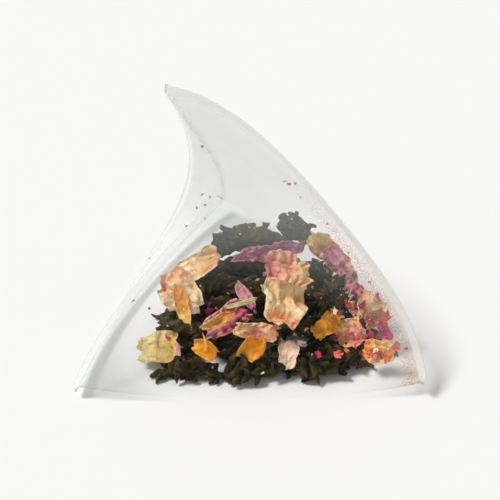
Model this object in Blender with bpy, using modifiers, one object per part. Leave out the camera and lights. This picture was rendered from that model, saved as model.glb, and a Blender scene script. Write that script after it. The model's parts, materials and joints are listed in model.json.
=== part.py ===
"""Pyramid tea bag: one sheet of clear mesh film folded to a tetrahedron, with its tea inside.

The bag is a tube of film pressed flat twice, at right angles: once along the seal A to C, once
along the seal T to B. The four lines between the ends of the two seals are its folds. Inside,
rolled leaves lie in a heap with dried petals on top. Each piece is dropped in turn until it
rests on what lies under it, so the heap follows every change of size.
Run it with: blender --background --python part.py
"""

from math import comb, pi, radians, sin

import bpy
import numpy as np
from mathutils import Euler, Matrix, Vector

MM = 0.001

# Film, all in millimetres.
FILM = 0.15
SEAL_GAP = 0.10
FIN_WIDTH = 1.6
ROWS = 18
WELD_LENGTH = 0.72
WELD_INSET = 0.25
LAP_WIDTH = 3.0
LAP_LENGTH = 32.0
LAP_MIDDLE = (1.0, -10.0)
LAP_HEADING = -29.0

# Corners of the tetrahedron: A and C end the lower seal, T and B the upper one.
CORNER_A = (-31.0, -28.5, 3.0)
CORNER_B = (31.0, -27.5, 3.0)
CORNER_C = (-6.0, 29.0, 4.5)
CORNER_T = (-15.5, 4.5, 45.0)

# Control points between the corners: the folds, then the two seals.
FOLD_AT = [CORNER_A, (-22.0, -19.0, 14.5), (-27.0, -12.5, 19.5), (0.5, -5.0, 26.5), CORNER_T]
FOLD_CT = [CORNER_C, (-5.5, 21.5, 20.0), (-9.0, 12.0, 28.5), CORNER_T]
FOLD_AB = [CORNER_A, (-12.0, -30.0, 0.2), (14.0, -30.0, 0.2), CORNER_B]
FOLD_CB = [CORNER_C, (9.0, 20.0, 0.2), (26.0, -3.0, 0.2), CORNER_B]
SEAL_AC = [CORNER_A, (-28.0, -8.0, 1.5), (-17.0, 13.0, 1.5), CORNER_C]
SEAL_TB = [CORNER_T, (5.5, -1.0, 44.5), (15.5, -16.0, 24.0), (28.0, -16.5, 20.0), CORNER_B]

# How far each face swells outwards: front, back right, back left and base. The power says how
# soon the bow of a seal fades out on its way down a face.
SWELL_FRONT = 3.0
SWELL_BACK = 2.5
SWELL_LEFT = -1.0
SAG_BASE = 9.0
BOW_POWER = 1.6
DOWN = (0, 0, -1)

# Tea, all in millimetres.
LEAF_THICK = 0.35
PETAL_THICK = 0.30
REST_GAP = 0.30
PILE_SHARE = 0.6
CELL = 0.4
SAMPLES = 24
FILL = 5
MAP_EDGE = 1.2
BLOCKED = 99.0
MOST_TILT = 0.4
HEAP_MIDDLE = (2.0, -2.0)
SLOPE = 52.5
BED_ROAM = 1.4
OUTER_ROAM = 0.7
MOST_MOVES = 60
MOVE = 0.5
LEAF_TURNS = 1.08
LEAF_SPIRAL = 0.3

# Colours of the dried pieces.
GREEN_BLACK = "2b2d22"
OLIVE = "3a3b2c"
HAZY = "5b5c4c"
PEACH = "e3b98a"
CREAM = "e0d0a0"
PINK = "c97f8a"
MAUVE = "9a4a6c"
MAGENTA = "b01e54"
ORANGE = "d98a1f"
PALE = "f2c9b4"
STEM = "d8d59a"

# Each row: name, kind, x and y of the middle, length, width (a leaf's is that of its roll),
# heading in degrees, curl, colour. The rows stand in the order of pouring, lowest first.
BED = [
    ("leaf_front_left", "leaf", -12.0, -23.5, 9.0, 3.4, 5, 0.6, GREEN_BLACK),
    ("leaf_front_middle", "leaf", 0.0, -24.5, 10.0, 3.4, -4, -0.6, GREEN_BLACK),
    ("leaf_front_right", "leaf", 12.0, -23.5, 9.0, 3.4, -6, 0.6, GREEN_BLACK),
    ("leaf_low_left", "leaf", -13.0, -18.5, 9.0, 4.0, 10, 0.8, GREEN_BLACK),
    ("leaf_low_middle", "leaf", -3.0, -19.0, 9.5, 4.0, -8, 0.8, GREEN_BLACK),
    ("leaf_low_right", "leaf", 6.5, -19.0, 8.0, 4.0, 20, 0.8, GREEN_BLACK),
    ("leaf_pointed", "leaf", 15.0, -18.0, 9.0, 3.8, -25, 0.8, GREEN_BLACK),
    ("leaf_far_right", "leaf", 22.0, -13.0, 8.5, 3.8, -50, 0.8, OLIVE),
    ("leaf_bed_01", "leaf", -13.0, -12.5, 11.0, 4.6, 15, 0.8, GREEN_BLACK),
    ("leaf_bed_02", "leaf", -0.5, -13.0, 12.0, 4.6, -5, -0.8, GREEN_BLACK),
    ("leaf_bed_03", "leaf", 12.0, -12.0, 10.0, 4.6, -20, 0.8, GREEN_BLACK),
    ("leaf_bed_04", "leaf", -11.0, -6.0, 11.0, 4.6, -10, 0.8, GREEN_BLACK),
    ("leaf_bed_05", "leaf", 1.0, -7.0, 12.0, 4.6, 5, 0.8, GREEN_BLACK),
    ("leaf_bed_06", "leaf", 14.0, -5.5, 10.0, 4.4, -35, 0.8, GREEN_BLACK),
    ("leaf_bed_07", "leaf", -6.5, -0.5, 11.0, 4.6, 10, 0.8, GREEN_BLACK),
    ("leaf_bed_08", "leaf", 6.0, -1.0, 11.0, 4.6, -10, 0.8, GREEN_BLACK),
    ("leaf_bed_09", "leaf", -2.5, 6.0, 12.0, 4.6, -5, 0.8, GREEN_BLACK),
    ("leaf_bed_10", "leaf", 9.5, 5.0, 9.0, 4.2, -40, 0.8, GREEN_BLACK),
    ("leaf_left", "leaf", -14.0, -14.5, 9.5, 4.0, -15, 0.6, OLIVE),
    ("leaf_middle", "leaf", 1.0, -15.0, 10.0, 4.2, -15, 0.6, GREEN_BLACK),
    ("leaf_middle_left", "leaf", -7.0, -9.5, 10.5, 4.4, 25, 0.6, GREEN_BLACK),
    ("leaf_middle_right", "leaf", 10.5, -9.5, 10.5, 4.4, 40, 0.6, GREEN_BLACK),
    ("leaf_right", "leaf", 18.0, -9.5, 9.5, 4.0, -50, 0.6, OLIVE),
    ("leaf_bed_11", "leaf", -5.0, -3.5, 11.0, 4.6, -10, 0.8, GREEN_BLACK),
    ("leaf_upper_right", "leaf", 12.5, 0.0, 10.0, 4.4, -15, 0.6, OLIVE),
    ("leaf_bed_12", "leaf", 3.5, -2.5, 10.0, 4.6, 10, 0.8, GREEN_BLACK),
    ("leaf_bed_13", "leaf", 0.0, 3.5, 11.0, 4.2, 10, 0.6, GREEN_BLACK),
    ("leaf_upper_left", "leaf", -3.0, -6.5, 10.5, 4.0, -15, 0.6, GREEN_BLACK),
    ("leaf_bed_14", "leaf", -3.0, 5.5, 9.0, 4.4, 10, 0.8, GREEN_BLACK),
    ("leaf_bed_15", "leaf", 5.0, 4.5, 9.0, 4.4, -15, 0.8, GREEN_BLACK),
    ("leaf_top_left", "leaf", -4.5, 5.0, 8.5, 4.2, 20, 0.8, GREEN_BLACK),
    ("leaf_top_hazy", "leaf", 7.5, 4.0, 8.0, 4.4, -5, -0.8, HAZY),
    ("leaf_top_middle", "leaf", 0.0, 4.0, 7.0, 3.8, 0, 0.6, OLIVE),
]

# The petals that lie against the front of the heap. Their y runs up its slope.
OUTER = [
    ("petal_mauve_long", "petal", 2.5, 9.5, 15.5, 5.0, 8, 1.4, MAUVE),
    ("petal_orange_small", "petal", -7.5, 9.5, 5.5, 4.2, 30, 0.8, ORANGE),
    ("petal_peach_ridged", "petal", -10.0, 5.5, 10.5, 5.5, 20, 1.2, PEACH),
    ("petal_peach_large", "petal", -12.5, 1.5, 10.5, 7.5, -55, 2.0, PEACH),
    ("petal_peach_narrow", "petal", -12.0, -1.5, 8.5, 4.0, 110, 1.0, PEACH),
    ("petal_cream_left", "petal", -16.5, -8.0, 9.0, 6.0, 10, 1.6, CREAM),
    ("petal_pink_tan", "petal", -5.5, -3.5, 9.5, 5.8, 30, 1.6, PINK),
    ("petal_tan_strip", "petal", -7.0, -4.0, 7.0, 3.4, 25, 0.8, CREAM),
    ("petal_mauve_low", "petal", 0.0, -4.5, 8.5, 5.0, -10, 1.2, MAUVE),
    ("petal_peach_centre", "petal", 5.5, -0.5, 12.0, 8.5, 80, 2.4, PEACH),
    ("petal_coral_centre", "petal", 6.0, 5.5, 9.5, 6.0, -15, 1.8, PINK),
    ("petal_purple_tip", "petal", 15.0, 12.0, 7.5, 5.0, -45, 1.0, PEACH),
    ("petal_mauve_right", "petal", 20.0, 8.0, 9.5, 5.2, -60, 1.2, MAUVE),
    ("petal_magenta_right", "petal", 17.0, 3.0, 4.5, 3.4, -20, 0.6, MAGENTA),
    ("petal_pink_right", "petal", 18.5, 3.0, 4.0, 3.2, 20, 0.6, PALE),
    ("petal_dusty_pink", "petal", 23.0, 0.5, 7.5, 5.0, 70, 1.4, PINK),
    ("petal_golden_right", "petal", 24.5, 0.0, 7.5, 5.2, -60, 1.4, PEACH),
    ("petal_coral_cup", "petal", 19.5, -5.5, 6.0, 5.5, 0, 1.8, PINK),
    ("petal_magenta_sliver", "petal", 25.0, -5.0, 5.5, 2.4, -60, 0.5, MAGENTA),
    ("petal_orange_brown", "petal", 15.0, -5.0, 6.5, 5.2, 45, 1.0, ORANGE),
    ("petal_yellow_right", "petal", 25.0, -9.5, 6.5, 4.4, 0, 0.9, ORANGE),
    ("petal_orange_low", "petal", 1.0, -7.5, 5.5, 4.4, 60, 0.8, ORANGE),
    ("petal_orange_left", "petal", -9.0, -7.5, 5.0, 3.6, -20, 0.8, ORANGE),
    ("petal_pale_low", "petal", 7.5, -9.0, 5.5, 4.0, 80, 0.8, PALE),
    ("petal_pink_middle", "petal", -0.5, 1.5, 6.0, 2.6, -60, 0.5, PINK),
    ("stem_green", "petal", -2.5, 0.0, 6.0, 1.6, 15, 0.3, STEM),
]


def colour_of(text):
    """Linear RGBA of a hex sRGB colour."""
    steps = [int(text[i : i + 2], 16) / 255 for i in (0, 2, 4)]
    return [c / 12.92 if c <= 0.04045 else ((c + 0.055) / 1.055) ** 2.4 for c in steps] + [1.0]


def material(name, colour, roughness, alpha=1.0):
    """A plain Principled material."""
    made = bpy.data.materials.new(name)
    made.use_nodes = True
    shader = made.node_tree.nodes["Principled BSDF"]
    shader.inputs["Base Color"].default_value = colour_of(colour)
    shader.inputs["Roughness"].default_value = roughness
    shader.inputs["Alpha"].default_value = alpha
    return made


def bezier(points, t):
    """The Bezier curve of any degree through its control points, for an array of t from 0 to 1."""
    points = np.array(points, float)
    t = np.asarray(t, float)[:, None]
    last = len(points) - 1
    terms = [comb(last, i) * t**i * (1 - t) ** (last - i) * p for i, p in enumerate(points)]
    return sum(terms)


def unit(vectors):
    """The vectors at length 1."""
    return vectors / np.linalg.norm(vectors, axis=-1, keepdims=True)


def mesh_object(name, points, faces, home, shade, location=(0, 0, 0), turn=None):
    """A mesh object from points in millimetres, hung on the home empty."""
    mesh = bpy.data.meshes.new(name)
    mesh.from_pydata((np.asarray(points) * MM).tolist(), [], faces)
    mesh.update()
    made = bpy.data.objects.new(name, mesh)
    made.data.materials.append(shade)
    home["collection"].objects.link(made)
    made.parent = home["empty"]
    made.location = Vector(location) * MM
    if turn is not None:
        made.rotation_euler = turn
    return made


def solidify(thing, thickness, offset):
    """Gives a sheet its thickness."""
    shell = thing.modifiers.new("thickness", "SOLIDIFY")
    shell.thickness = thickness * MM
    shell.offset = offset
    shell.use_rim = True
    return shell


def face_row(fold_one, fold_two, seal, row, swell, lift):
    """One row of a face. It runs from one fold to the other, shares the seal's bow and swells."""
    s = row / ROWS
    cells = max(row, 1)
    t = np.linspace(0, 1, cells + 1)
    ends = bezier(fold_one, [s])[0], bezier(fold_two, [s])[0]
    straight = (1 - t[:, None]) * ends[0] + t[:, None] * ends[1]
    edge = bezier(seal, t)
    chord = (1 - t[:, None]) * edge[0] + t[:, None] * edge[-1]
    bow = (edge - chord) * s**BOW_POWER
    belly = swell * sin(pi * s) * np.sin(pi * t)[:, None] * s * 2
    return straight + bow + belly * np.array(lift)


def away_from(inner, *corners):
    """The unit normal of the face through three corners that points away from the fourth."""
    normal = unit(np.cross(corners[1] - corners[0], corners[2] - corners[0]))
    return normal if normal @ (corners[0] - inner) > 0 else -normal


def bag_rings():
    """The film's inner face as rings round the tube, from the lower seal to the upper one.

    Every ring has the same count of points, starting at the fold A to T: across the front to
    the fold A to B, under the base to C to B, up the back right to C to T, then the back left.
    """
    a, b, c, t = (np.array(corner) for corner in (CORNER_A, CORNER_B, CORNER_C, CORNER_T))
    outward = [away_from(c, a, b, t), away_from(a, b, c, t), away_from(b, a, c, t)]
    rings = []
    for row in range(ROWS + 1):
        front = face_row(FOLD_AT, FOLD_AB, SEAL_TB, row, SWELL_FRONT, outward[0])
        back = face_row(FOLD_CT, FOLD_CB, SEAL_TB, row, SWELL_BACK, outward[1])
        left = face_row(FOLD_AT[::-1], FOLD_CT[::-1], SEAL_AC, ROWS - row, SWELL_LEFT, outward[2])
        base = face_row(FOLD_AB[::-1], FOLD_CB[::-1], SEAL_AC, ROWS - row, SAG_BASE, DOWN)
        if row == 0:
            front, back = front[:1], back[:1]
        if row == ROWS:
            left, base = left[:1], base[:1]
        ring = np.vstack([front, base[1:], back[::-1][1:], left[::-1][1:-1]])
        rings.append(ring[: 2 * ROWS])
    return np.array(rings)


def press(ring, beside, reach):
    """A ring of a seal: its two layers a hair apart, moved outwards from the bag by reach."""
    order = np.arange(ROWS + 1)
    mirror = -order % (2 * ROWS)
    line = (ring[order] + ring[mirror]) / 2
    along = unit(np.gradient(line, axis=0))
    out = line - (beside[order] + beside[mirror]) / 2
    out = unit(out - (out * along).sum(1)[:, None] * along)
    across = np.cross(along, out)
    if ((beside[order] - beside[mirror]) * across).sum() < 0:
        across = -across
    apart = np.full((ROWS + 1, 1), SEAL_GAP / 2)
    apart[[0, -1]] = 0
    pressed = ring.copy()
    pressed[order] = line + out * reach + across * apart
    pressed[mirror] = line + out * reach - across * apart
    return pressed


def bag_grid():
    """All rings of the film's inner face with the two fins, the base lying flat on the table."""
    rings = bag_rings()
    rings[:, :, 2] = np.maximum(rings[:, :, 2], FILM)
    low = [press(rings[0], rings[1], reach) for reach in (FIN_WIDTH, 0.0)]
    high = [press(rings[-1], rings[-2], reach) for reach in (0.0, FIN_WIDTH)]
    return np.array([*low, *rings[1:-1], *high])


def tube_faces(rows, columns):
    """Triangles of a tube grid, each cell cut the way that the folds A to B and C to T run."""
    faces = []
    for i in range(rows - 1):
        for j in range(columns):
            k = (j + 1) % columns
            a, b = i * columns + j, i * columns + k
            c, d = (i + 1) * columns + k, (i + 1) * columns + j
            faces += [(a, b, c), (a, c, d)]
    return faces


def box_faces(first):
    """The twelve triangles of a six-sided block whose corners are first to first + 7."""
    quads = [(0, 1, 2, 3), (7, 6, 5, 4), (0, 4, 5, 1), (1, 5, 6, 2), (2, 6, 7, 3), (3, 7, 4, 0)]
    return [tuple(first + q[i] for i in ids) for q in quads for ids in ((0, 1, 2), (0, 2, 3))]


def weld_blocks(line, end):
    """The lands that join a fin's two layers: one block in each cell, with a hair gap between."""
    points, faces = [], []
    middle = (line + end) / 2
    reach = (1 - 2 * WELD_INSET) / 2
    for j in range(1, ROWS - 1):
        corners = []
        for side in (j, -j % (2 * ROWS)):
            step = 1 if side == j else -1
            other = (side + step) % (2 * ROWS)
            for ring_part, share in ((line, -1), (end, -1), (end, 1), (line, 1)):
                along = 0.5 + share * WELD_LENGTH / 2
                near = middle[side] + (ring_part[side] - middle[side]) * 2 * reach
                far = middle[other] + (ring_part[other] - middle[other]) * 2 * reach
                corners.append(near * (1 - along) + far * along)
        first, second = np.array(corners[:4]), np.array(corners[4:])
        through = unit(first - second) * FILM / 2
        points += [*(first + through), *(second - through)]
        faces += box_faces(8 * (j - 1))
    return points, faces


def join(body, other):
    """Unites other with body and hides it."""
    other.hide_render = True
    other.display_type = "WIRE"
    cut = body.modifiers.new(other.name, "BOOLEAN")
    cut.operation = "UNION"
    cut.solver = "EXACT"
    cut.object = other


def make_bag(home):
    """The film bag: its folded tube, the welds of both seals and the lap seam under the tea."""
    grid = bag_grid()
    rows, columns = grid.shape[:2]
    shade = material("clear_mesh_film", "eef0ee", 0.25, 0.35)
    bag = mesh_object("mesh_bag", grid.reshape(-1, 3), tube_faces(rows, columns), home, shade)
    solidify(bag, FILM, 1.0)
    for name, below, above in (("lower_weld", grid[1], grid[0]), ("upper_weld", grid[-1], grid[-2])):
        points, faces = weld_blocks(below, above)
        join(bag, mesh_object(name, points, faces, home, shade))
    join(bag, make_lap(home))
    return grid


def make_lap(home):
    """The film's long seam, a second layer inside the base, from the lower seal towards B."""
    bpy.ops.mesh.primitive_cube_add(size=1)
    lap = bpy.context.object
    lap.name = "lap_seam"
    for holder in list(lap.users_collection):
        holder.objects.unlink(lap)
    home["collection"].objects.link(lap)
    lap.parent = home["empty"]
    lap.dimensions = (LAP_LENGTH * MM, LAP_WIDTH * MM, 1.5 * FILM * MM)
    lap.location = (LAP_MIDDLE[0] * MM, LAP_MIDDLE[1] * MM, 1.25 * FILM * MM)
    lap.rotation_euler = (0, 0, radians(LAP_HEADING))
    return lap


def lap_points():
    """Close points over the lap's top, for the map on which the tea settles."""
    along = np.linspace(-LAP_LENGTH / 2, LAP_LENGTH / 2, 100)[:, None]
    across = np.linspace(-LAP_WIDTH / 2, LAP_WIDTH / 2, 12)[None, :]
    flat = np.stack([along + 0 * across, across + 0 * along, 0 * (along + across)], -1)
    turn = Euler((0, 0, radians(LAP_HEADING))).to_matrix()
    return turned(flat, turn) + [*LAP_MIDDLE, 2 * FILM]


class HeapMap:
    """What a piece can rest on, as heights over small cells, with the film that closes it in.

    Slope is the angle by which the map leans back from flat. At 0 pieces drop straight down on
    the base. At a larger angle they are laid against the front of the heap.
    """

    def __init__(self, grid, slope, ground_faces, laid):
        self.lean = np.array(Euler((-radians(slope), 0, 0)).to_matrix())
        faces = {face: self.into(points) for face, points in film_faces(grid).items()}
        self.half = max(np.abs(points[..., :2]).max() for points in faces.values()) + MAP_EDGE
        self.size = int(2 * self.half / CELL)
        self.ground = np.full((self.size, self.size), -np.inf)
        self.roof = np.full((self.size, self.size), np.inf)
        for face, points in faces.items():
            cells = self._cells(points)
            if face in ground_faces:
                np.maximum.at(self.ground, cells, points[..., 2])
            else:
                np.minimum.at(self.roof, cells, points[..., 2])
        self.ground[self.ground == -np.inf] = BLOCKED
        self.roof[self.roof == np.inf] = -BLOCKED
        for points, thickness in laid:
            self.add(points, thickness)

    def into(self, points):
        """World points as points of this map."""
        return points @ self.lean.T

    def back(self, points):
        """Points of this map as world points."""
        return points @ self.lean

    def _cells(self, points):
        index = ((points[..., :2] + self.half) / CELL).astype(int)
        index = np.clip(index, 0, self.size - 1)
        return index[..., 0], index[..., 1]

    def drop(self, points, thickness):
        """How far points have to rise to rest on what lies there, and if they then clear the film."""
        cells = self._cells(points)
        half = thickness * PILE_SHARE
        lift = (wide(self.ground, np.maximum)[cells] + REST_GAP + half - points[..., 2]).max()
        top = points[..., 2] + lift + half + REST_GAP
        return lift, (top < wide(self.roof, np.minimum)[cells]).all()

    def tilt(self, points):
        """The gradient of the ground under points."""
        z = self.ground[self._cells(points)].ravel()
        keep = z < BLOCKED
        if keep.sum() < 8:
            return np.zeros(2)
        x, y = points[..., 0].ravel()[keep], points[..., 1].ravel()[keep]
        table = np.column_stack([x, y, np.ones(len(x))])
        return np.clip(np.linalg.lstsq(table, z[keep], rcond=None)[0][:2], -MOST_TILT, MOST_TILT)

    def add(self, points, thickness):
        """Lays a piece, given by its world points, on the map."""
        points = self.into(points)
        np.maximum.at(self.ground, self._cells(points), points[..., 2] + thickness * PILE_SHARE)


def film_faces(grid):
    """Close points all over each of the bag's four faces."""
    share = np.linspace(0, 1, SAMPLES)[:, None]
    found = {"front": [], "base": [], "back": [], "left": []}
    for row in range(ROWS):
        ring, up = grid[row + 1], grid[row + 2]
        for j in range(2 * ROWS):
            k = (j + 1) % (2 * ROWS)
            low = ring[j] * (1 - share) + ring[k] * share
            high = up[j] * (1 - share) + up[k] * share
            ends = [row, ROWS, ROWS + row, 2 * ROWS]
            name = ("front", "base", "back", "left")[sum(j >= end for end in ends)]
            found[name].append(low[None] * (1 - share[..., None]) + high[None] * share[..., None])
    return {name: np.concatenate([p.reshape(-1, 3) for p in found[name]]) for name in found}


def wide(table, pick):
    """Each cell with the highest or lowest of itself and its eight neighbours."""
    for axis in (0, 1):
        table = pick(pick(np.roll(table, 1, axis), np.roll(table, -1, axis)), table)
    return table


def leaf_points(length, width, curl, seed):
    """A tea leaf rolled about its long axis: a spiral that narrows to both tips and bends."""
    u = np.linspace(0, 1, 6)[:, None]
    v = np.linspace(0, 1, 8)[None, :]
    spread = 0.32 + 0.68 * np.sin(pi * u) ** 0.7
    turn = 2 * pi * LEAF_TURNS * spread * (v - 0.5) + 2.4 * seed + 0.6 * u
    radius = width / 2 * (0.3 + 0.7 * spread) * (1 - LEAF_SPIRAL * v) * (1 + 0.06 * np.sin(9 * u + seed))
    x = length * (u - 0.5) * (1 - 0.05 * np.cos(turn))
    y = radius * np.cos(turn) + curl * (4 * (u - 0.5) ** 2 - 0.5)
    z = radius * np.sin(turn)
    return np.stack([x + 0 * v, y + 0 * v, z + 0 * v], -1)


def petal_points(length, width, curl, seed):
    """A dried petal: a shell that narrows to its claw, curled along and across, with ripples."""
    u = np.linspace(0, 1, 7)[:, None]
    v = np.linspace(-1, 1, 6)[None, :]
    half = width / 2 * (0.35 + 0.65 * np.sin(pi * (0.12 + 0.76 * u)) ** 0.8)
    x = length * (u - 0.5) + 0.06 * length * np.cos(pi * v) * u
    y = half * v
    ripple = 0.10 * width * np.sin(2.2 * pi * u + 2.0 * seed) * np.cos(pi * v + seed)
    z = curl * (v**2 * 0.6 + (2 * u - 1) ** 2 * 0.5) + ripple
    return np.stack([x + 0 * v, y + 0 * u, z], -1)


def fine(points):
    """The sheet's points with the stretches between them filled in, for the height map."""
    for _ in range(2):
        count = len(points)
        place = np.linspace(0, count - 1, (count - 1) * FILL + 1)
        low = np.minimum(place.astype(int), count - 2)
        share = (place - low)[:, None, None]
        points = (points[low] * (1 - share) + points[low + 1] * share).transpose(1, 0, 2)
    return points


def sheet_faces(rows, columns):
    """The cells of an open grid."""
    return [
        (i * columns + j, i * columns + j + 1, (i + 1) * columns + j + 1, (i + 1) * columns + j)
        for i in range(rows - 1)
        for j in range(columns - 1)
    ]


def try_spot(points, place, spin, heap, thickness):
    """The piece laid at one place of the map: its points, its turn and whether it clears the film."""
    flat = turned(points, spin) + [*place, 0]
    tilt = heap.tilt(flat)
    up = Vector((-tilt[0], -tilt[1], 1)).normalized()
    turn = Vector((0, 0, 1)).rotation_difference(up).to_matrix() @ spin
    laid = turned(points, turn) + [*place, 0]
    lift, inside = heap.drop(laid, thickness)
    return lift, inside, laid, turn


def settle(points, place, heading, heap, thickness, roam):
    """Where the piece comes to rest: the lowest of the spots near place that clear the film."""
    place = np.array(place, float)
    spin = Euler((0, 0, radians(heading))).to_matrix()
    steps = (0, -roam, roam)
    for _ in range(MOST_MOVES):
        spots = [place + (dx, dy) for dx in steps for dy in steps]
        tries = [(*try_spot(points, spot, spin, heap, thickness), spot) for spot in spots]
        clear = [found for found in tries if found[1]]
        if clear:
            break
        place = place + MOVE * unit(np.array(HEAP_MIDDLE) - place + 1e-9)
    lift, _, laid, turn, spot = min(clear or tries, key=lambda found: found[0])
    world = heap.back(laid + [0, 0, lift])
    return world, heap.back(np.array([*spot, lift])), (Matrix(heap.lean.T) @ turn).to_euler()


def turned(points, matrix):
    """The points turned by a 3 by 3 matrix."""
    return points @ np.array(matrix).T


def lay_out(rows, grid, slope, ground_faces, laid, roam):
    """Settles each row of a table in turn. It returns the pieces' meshes, places and turns."""
    heap = HeapMap(grid, slope, ground_faces, laid)
    settled = []
    for name, kind, x, y, length, width, heading, curl, colour in rows:
        shape, thickness = SHAPES[kind]
        points = shape(length, width, curl, len(laid))
        spread_out, spot, turn = settle(fine(points), (x, y), heading, heap, thickness, roam)
        heap.add(spread_out, thickness)
        laid.append((spread_out, thickness))
        settled.append((name, points, spot, turn, thickness, colour))
    return settled


def make_piece(name, points, spot, turn, thickness, colour, home):
    """One piece of tea as an object, where it came to rest."""
    rows, columns = points.shape[:2]
    shade = material(name + "_colour", colour, 0.7)
    made = mesh_object(name, points.reshape(-1, 3), sheet_faces(rows, columns), home, shade, spot, turn)
    solidify(made, thickness, 0.0)
    return made


SHAPES = {"leaf": (leaf_points, LEAF_THICK), "petal": (petal_points, PETAL_THICK)}


def clear_scene():
    """Removes the startup scene's objects."""
    for thing in list(bpy.data.objects):
        bpy.data.objects.remove(thing, do_unlink=True)


def main():
    """Makes the bag, pours the leaves into it and lays the petals against their heap."""
    clear_scene()
    collection = bpy.data.collections.new("pyramid_tea_bag")
    bpy.context.scene.collection.children.link(collection)
    empty = bpy.data.objects.new("tea_bag", None)
    collection.objects.link(empty)
    home = {"collection": collection, "empty": empty}
    grid = make_bag(home)
    middle = (grid.min((0, 1)) + grid.max((0, 1))) / 2
    empty.location = Vector((-middle[0], -middle[1], 0)) * MM
    laid = [(lap_points(), 0.0)]
    for row in lay_out(BED, grid, 0.0, ("base",), laid, BED_ROAM):
        make_piece(*row, home)
    for row in lay_out(OUTER, grid, SLOPE, ("base", "back", "left"), laid, OUTER_ROAM):
        make_piece(*row, home)


main()
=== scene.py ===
"""Looks of the pyramid tea bag: its clear mesh film, its leaves, its petals and its small bits.

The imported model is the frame. Each leaf and petal below takes the place of one of its nodes and
fills that node's own space. Lengths are in metres, like the frame's, unless a name or a comment
says millimetres. Run it as a script. It makes the object, its stage and its camera.
"""

import json
from math import comb, pi, radians

import bpy
import numpy as np
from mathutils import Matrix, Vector
from mathutils.bvhtree import BVHTree

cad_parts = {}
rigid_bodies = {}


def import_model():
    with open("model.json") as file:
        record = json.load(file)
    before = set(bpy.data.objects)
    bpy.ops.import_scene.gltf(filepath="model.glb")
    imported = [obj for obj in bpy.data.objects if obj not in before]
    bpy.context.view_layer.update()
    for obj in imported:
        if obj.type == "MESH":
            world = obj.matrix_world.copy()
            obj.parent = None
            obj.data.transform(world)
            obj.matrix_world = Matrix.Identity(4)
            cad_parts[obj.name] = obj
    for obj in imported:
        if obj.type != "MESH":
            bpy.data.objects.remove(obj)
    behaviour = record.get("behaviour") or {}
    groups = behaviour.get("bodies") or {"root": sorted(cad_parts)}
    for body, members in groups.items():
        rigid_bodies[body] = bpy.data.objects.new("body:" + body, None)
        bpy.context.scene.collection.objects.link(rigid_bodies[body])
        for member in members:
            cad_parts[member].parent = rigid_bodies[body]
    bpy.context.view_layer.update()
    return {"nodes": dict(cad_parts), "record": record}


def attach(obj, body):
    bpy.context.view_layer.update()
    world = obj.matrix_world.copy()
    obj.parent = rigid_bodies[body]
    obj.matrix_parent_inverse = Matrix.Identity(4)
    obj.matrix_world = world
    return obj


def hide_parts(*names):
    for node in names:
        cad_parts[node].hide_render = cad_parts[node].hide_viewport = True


bl_info = {
    "name": "Pyramid Tea Bag",
    "version": (1, 0, 0),
    "blender": (4, 5, 0),
    "location": "3D View > Sidebar > Tea Bag",
    "description": "Dresses the packed tea bag: film, leaves, petals, shreds, flakes and dust",
    "category": "Object",
}

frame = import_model()
SLOT_OF = {part["node"]: part["material_slot"] for part in frame["record"]["subparts"]}

MM = 0.001
BODY = "root"
BLACK = (0, 0, 0, 1)
GREY = (0.4, 0.4, 0.4, 1)
WHITE = (1, 1, 1, 1)

# Nothing within the film lies lower than this.
LOWEST = 0.0003

# The folded film, in millimetres: the four corners, the folds between them and the two seals.
CORNER_A = (-31.0, -28.5, 3.0)
CORNER_B = (31.0, -27.5, 3.0)
CORNER_C = (-6.0, 29.0, 4.5)
CORNER_T = (-15.5, 4.5, 45.0)
FOLD_AT = [CORNER_A, (-22.0, -19.0, 14.5), (-27.0, -12.5, 19.5), (0.5, -5.0, 26.5), CORNER_T]
FOLD_CT = [CORNER_C, (-5.5, 21.5, 20.0), (-9.0, 12.0, 28.5), CORNER_T]
FOLD_AB = [CORNER_A, (-12.0, -30.0, 0.2), (14.0, -30.0, 0.2), CORNER_B]
FOLD_CB = [CORNER_C, (9.0, 20.0, 0.2), (26.0, -3.0, 0.2), CORNER_B]
SEAL_AC = [CORNER_A, (-28.0, -8.0, 1.5), (-17.0, 13.0, 1.5), CORNER_C]
SEAL_TB = [CORNER_T, (5.5, -1.0, 44.5), (15.5, -16.0, 24.0), (28.0, -16.5, 20.0), CORNER_B]
SWELL_FRONT_MM = 3.0
SWELL_BACK_MM = 2.5
SWELL_LEFT_MM = -1.0
SAG_BASE_MM = 9.0
BOW_POWER = 1.6
FIN_WIDTH_MM = 1.6
SEAL_GAP_MM = 0.10
LAP_MIDDLE_MM = (1.0, -10.0)
LAP_HEADING = -29.0
LAP_LENGTH_MM = 32.0
LAP_WIDTH_MM = 3.0
FILM_WIDTH = 0.140
TUBE_LENGTH = 0.0632

# Fineness of the film: rows along the tube, rows across each welded fin, and the size of a cell.
ROWS = 96
FIN_ROWS = 6
CELL_MM = 0.7

# Half widths of the creases along the left and back folds, and how much weaker the back one is.
LEFT_CREASE_MM = 0.55
BACK_CREASE_MM = 0.6
BACK_CREASE = 0.8

# The lap seam shows half as strongly as a fin, and only on the base.
LAP_WELD = 0.5
LAP_BELOW_MM = 0.5

# Dust lies along the upper seal, and thins out between two heights.
DUST_FROM_SEAL_MM = 2.4
DUST_SPREAD_MM = 1.8
DUST_FADES_MM = (22.0, 36.0)

# The heap of tea as a flattened ball, and the shares of its reach between which the film's veil
# grows from faint to full; the faint veil over the heap is painted shade.
HEAP_MIDDLE_MM = (2.0, -10.0, 3.0)
HEAP_REACH_MM = (26.0, 26.0, 19.0)
CLOUDED_SHARES = (0.90, 1.40)

# Rough ways right and towards the eye, which settle the ends and the upper side of a piece, and
# one that hardly any face looks along, from which a bit's spin is counted.
RIGHTWARDS = (1.0, 0.35, 0.2)
EYEWARDS = (0.05, -0.6, 0.8)
ASIDE = (0.31, 0.12, 0.94)

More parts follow.
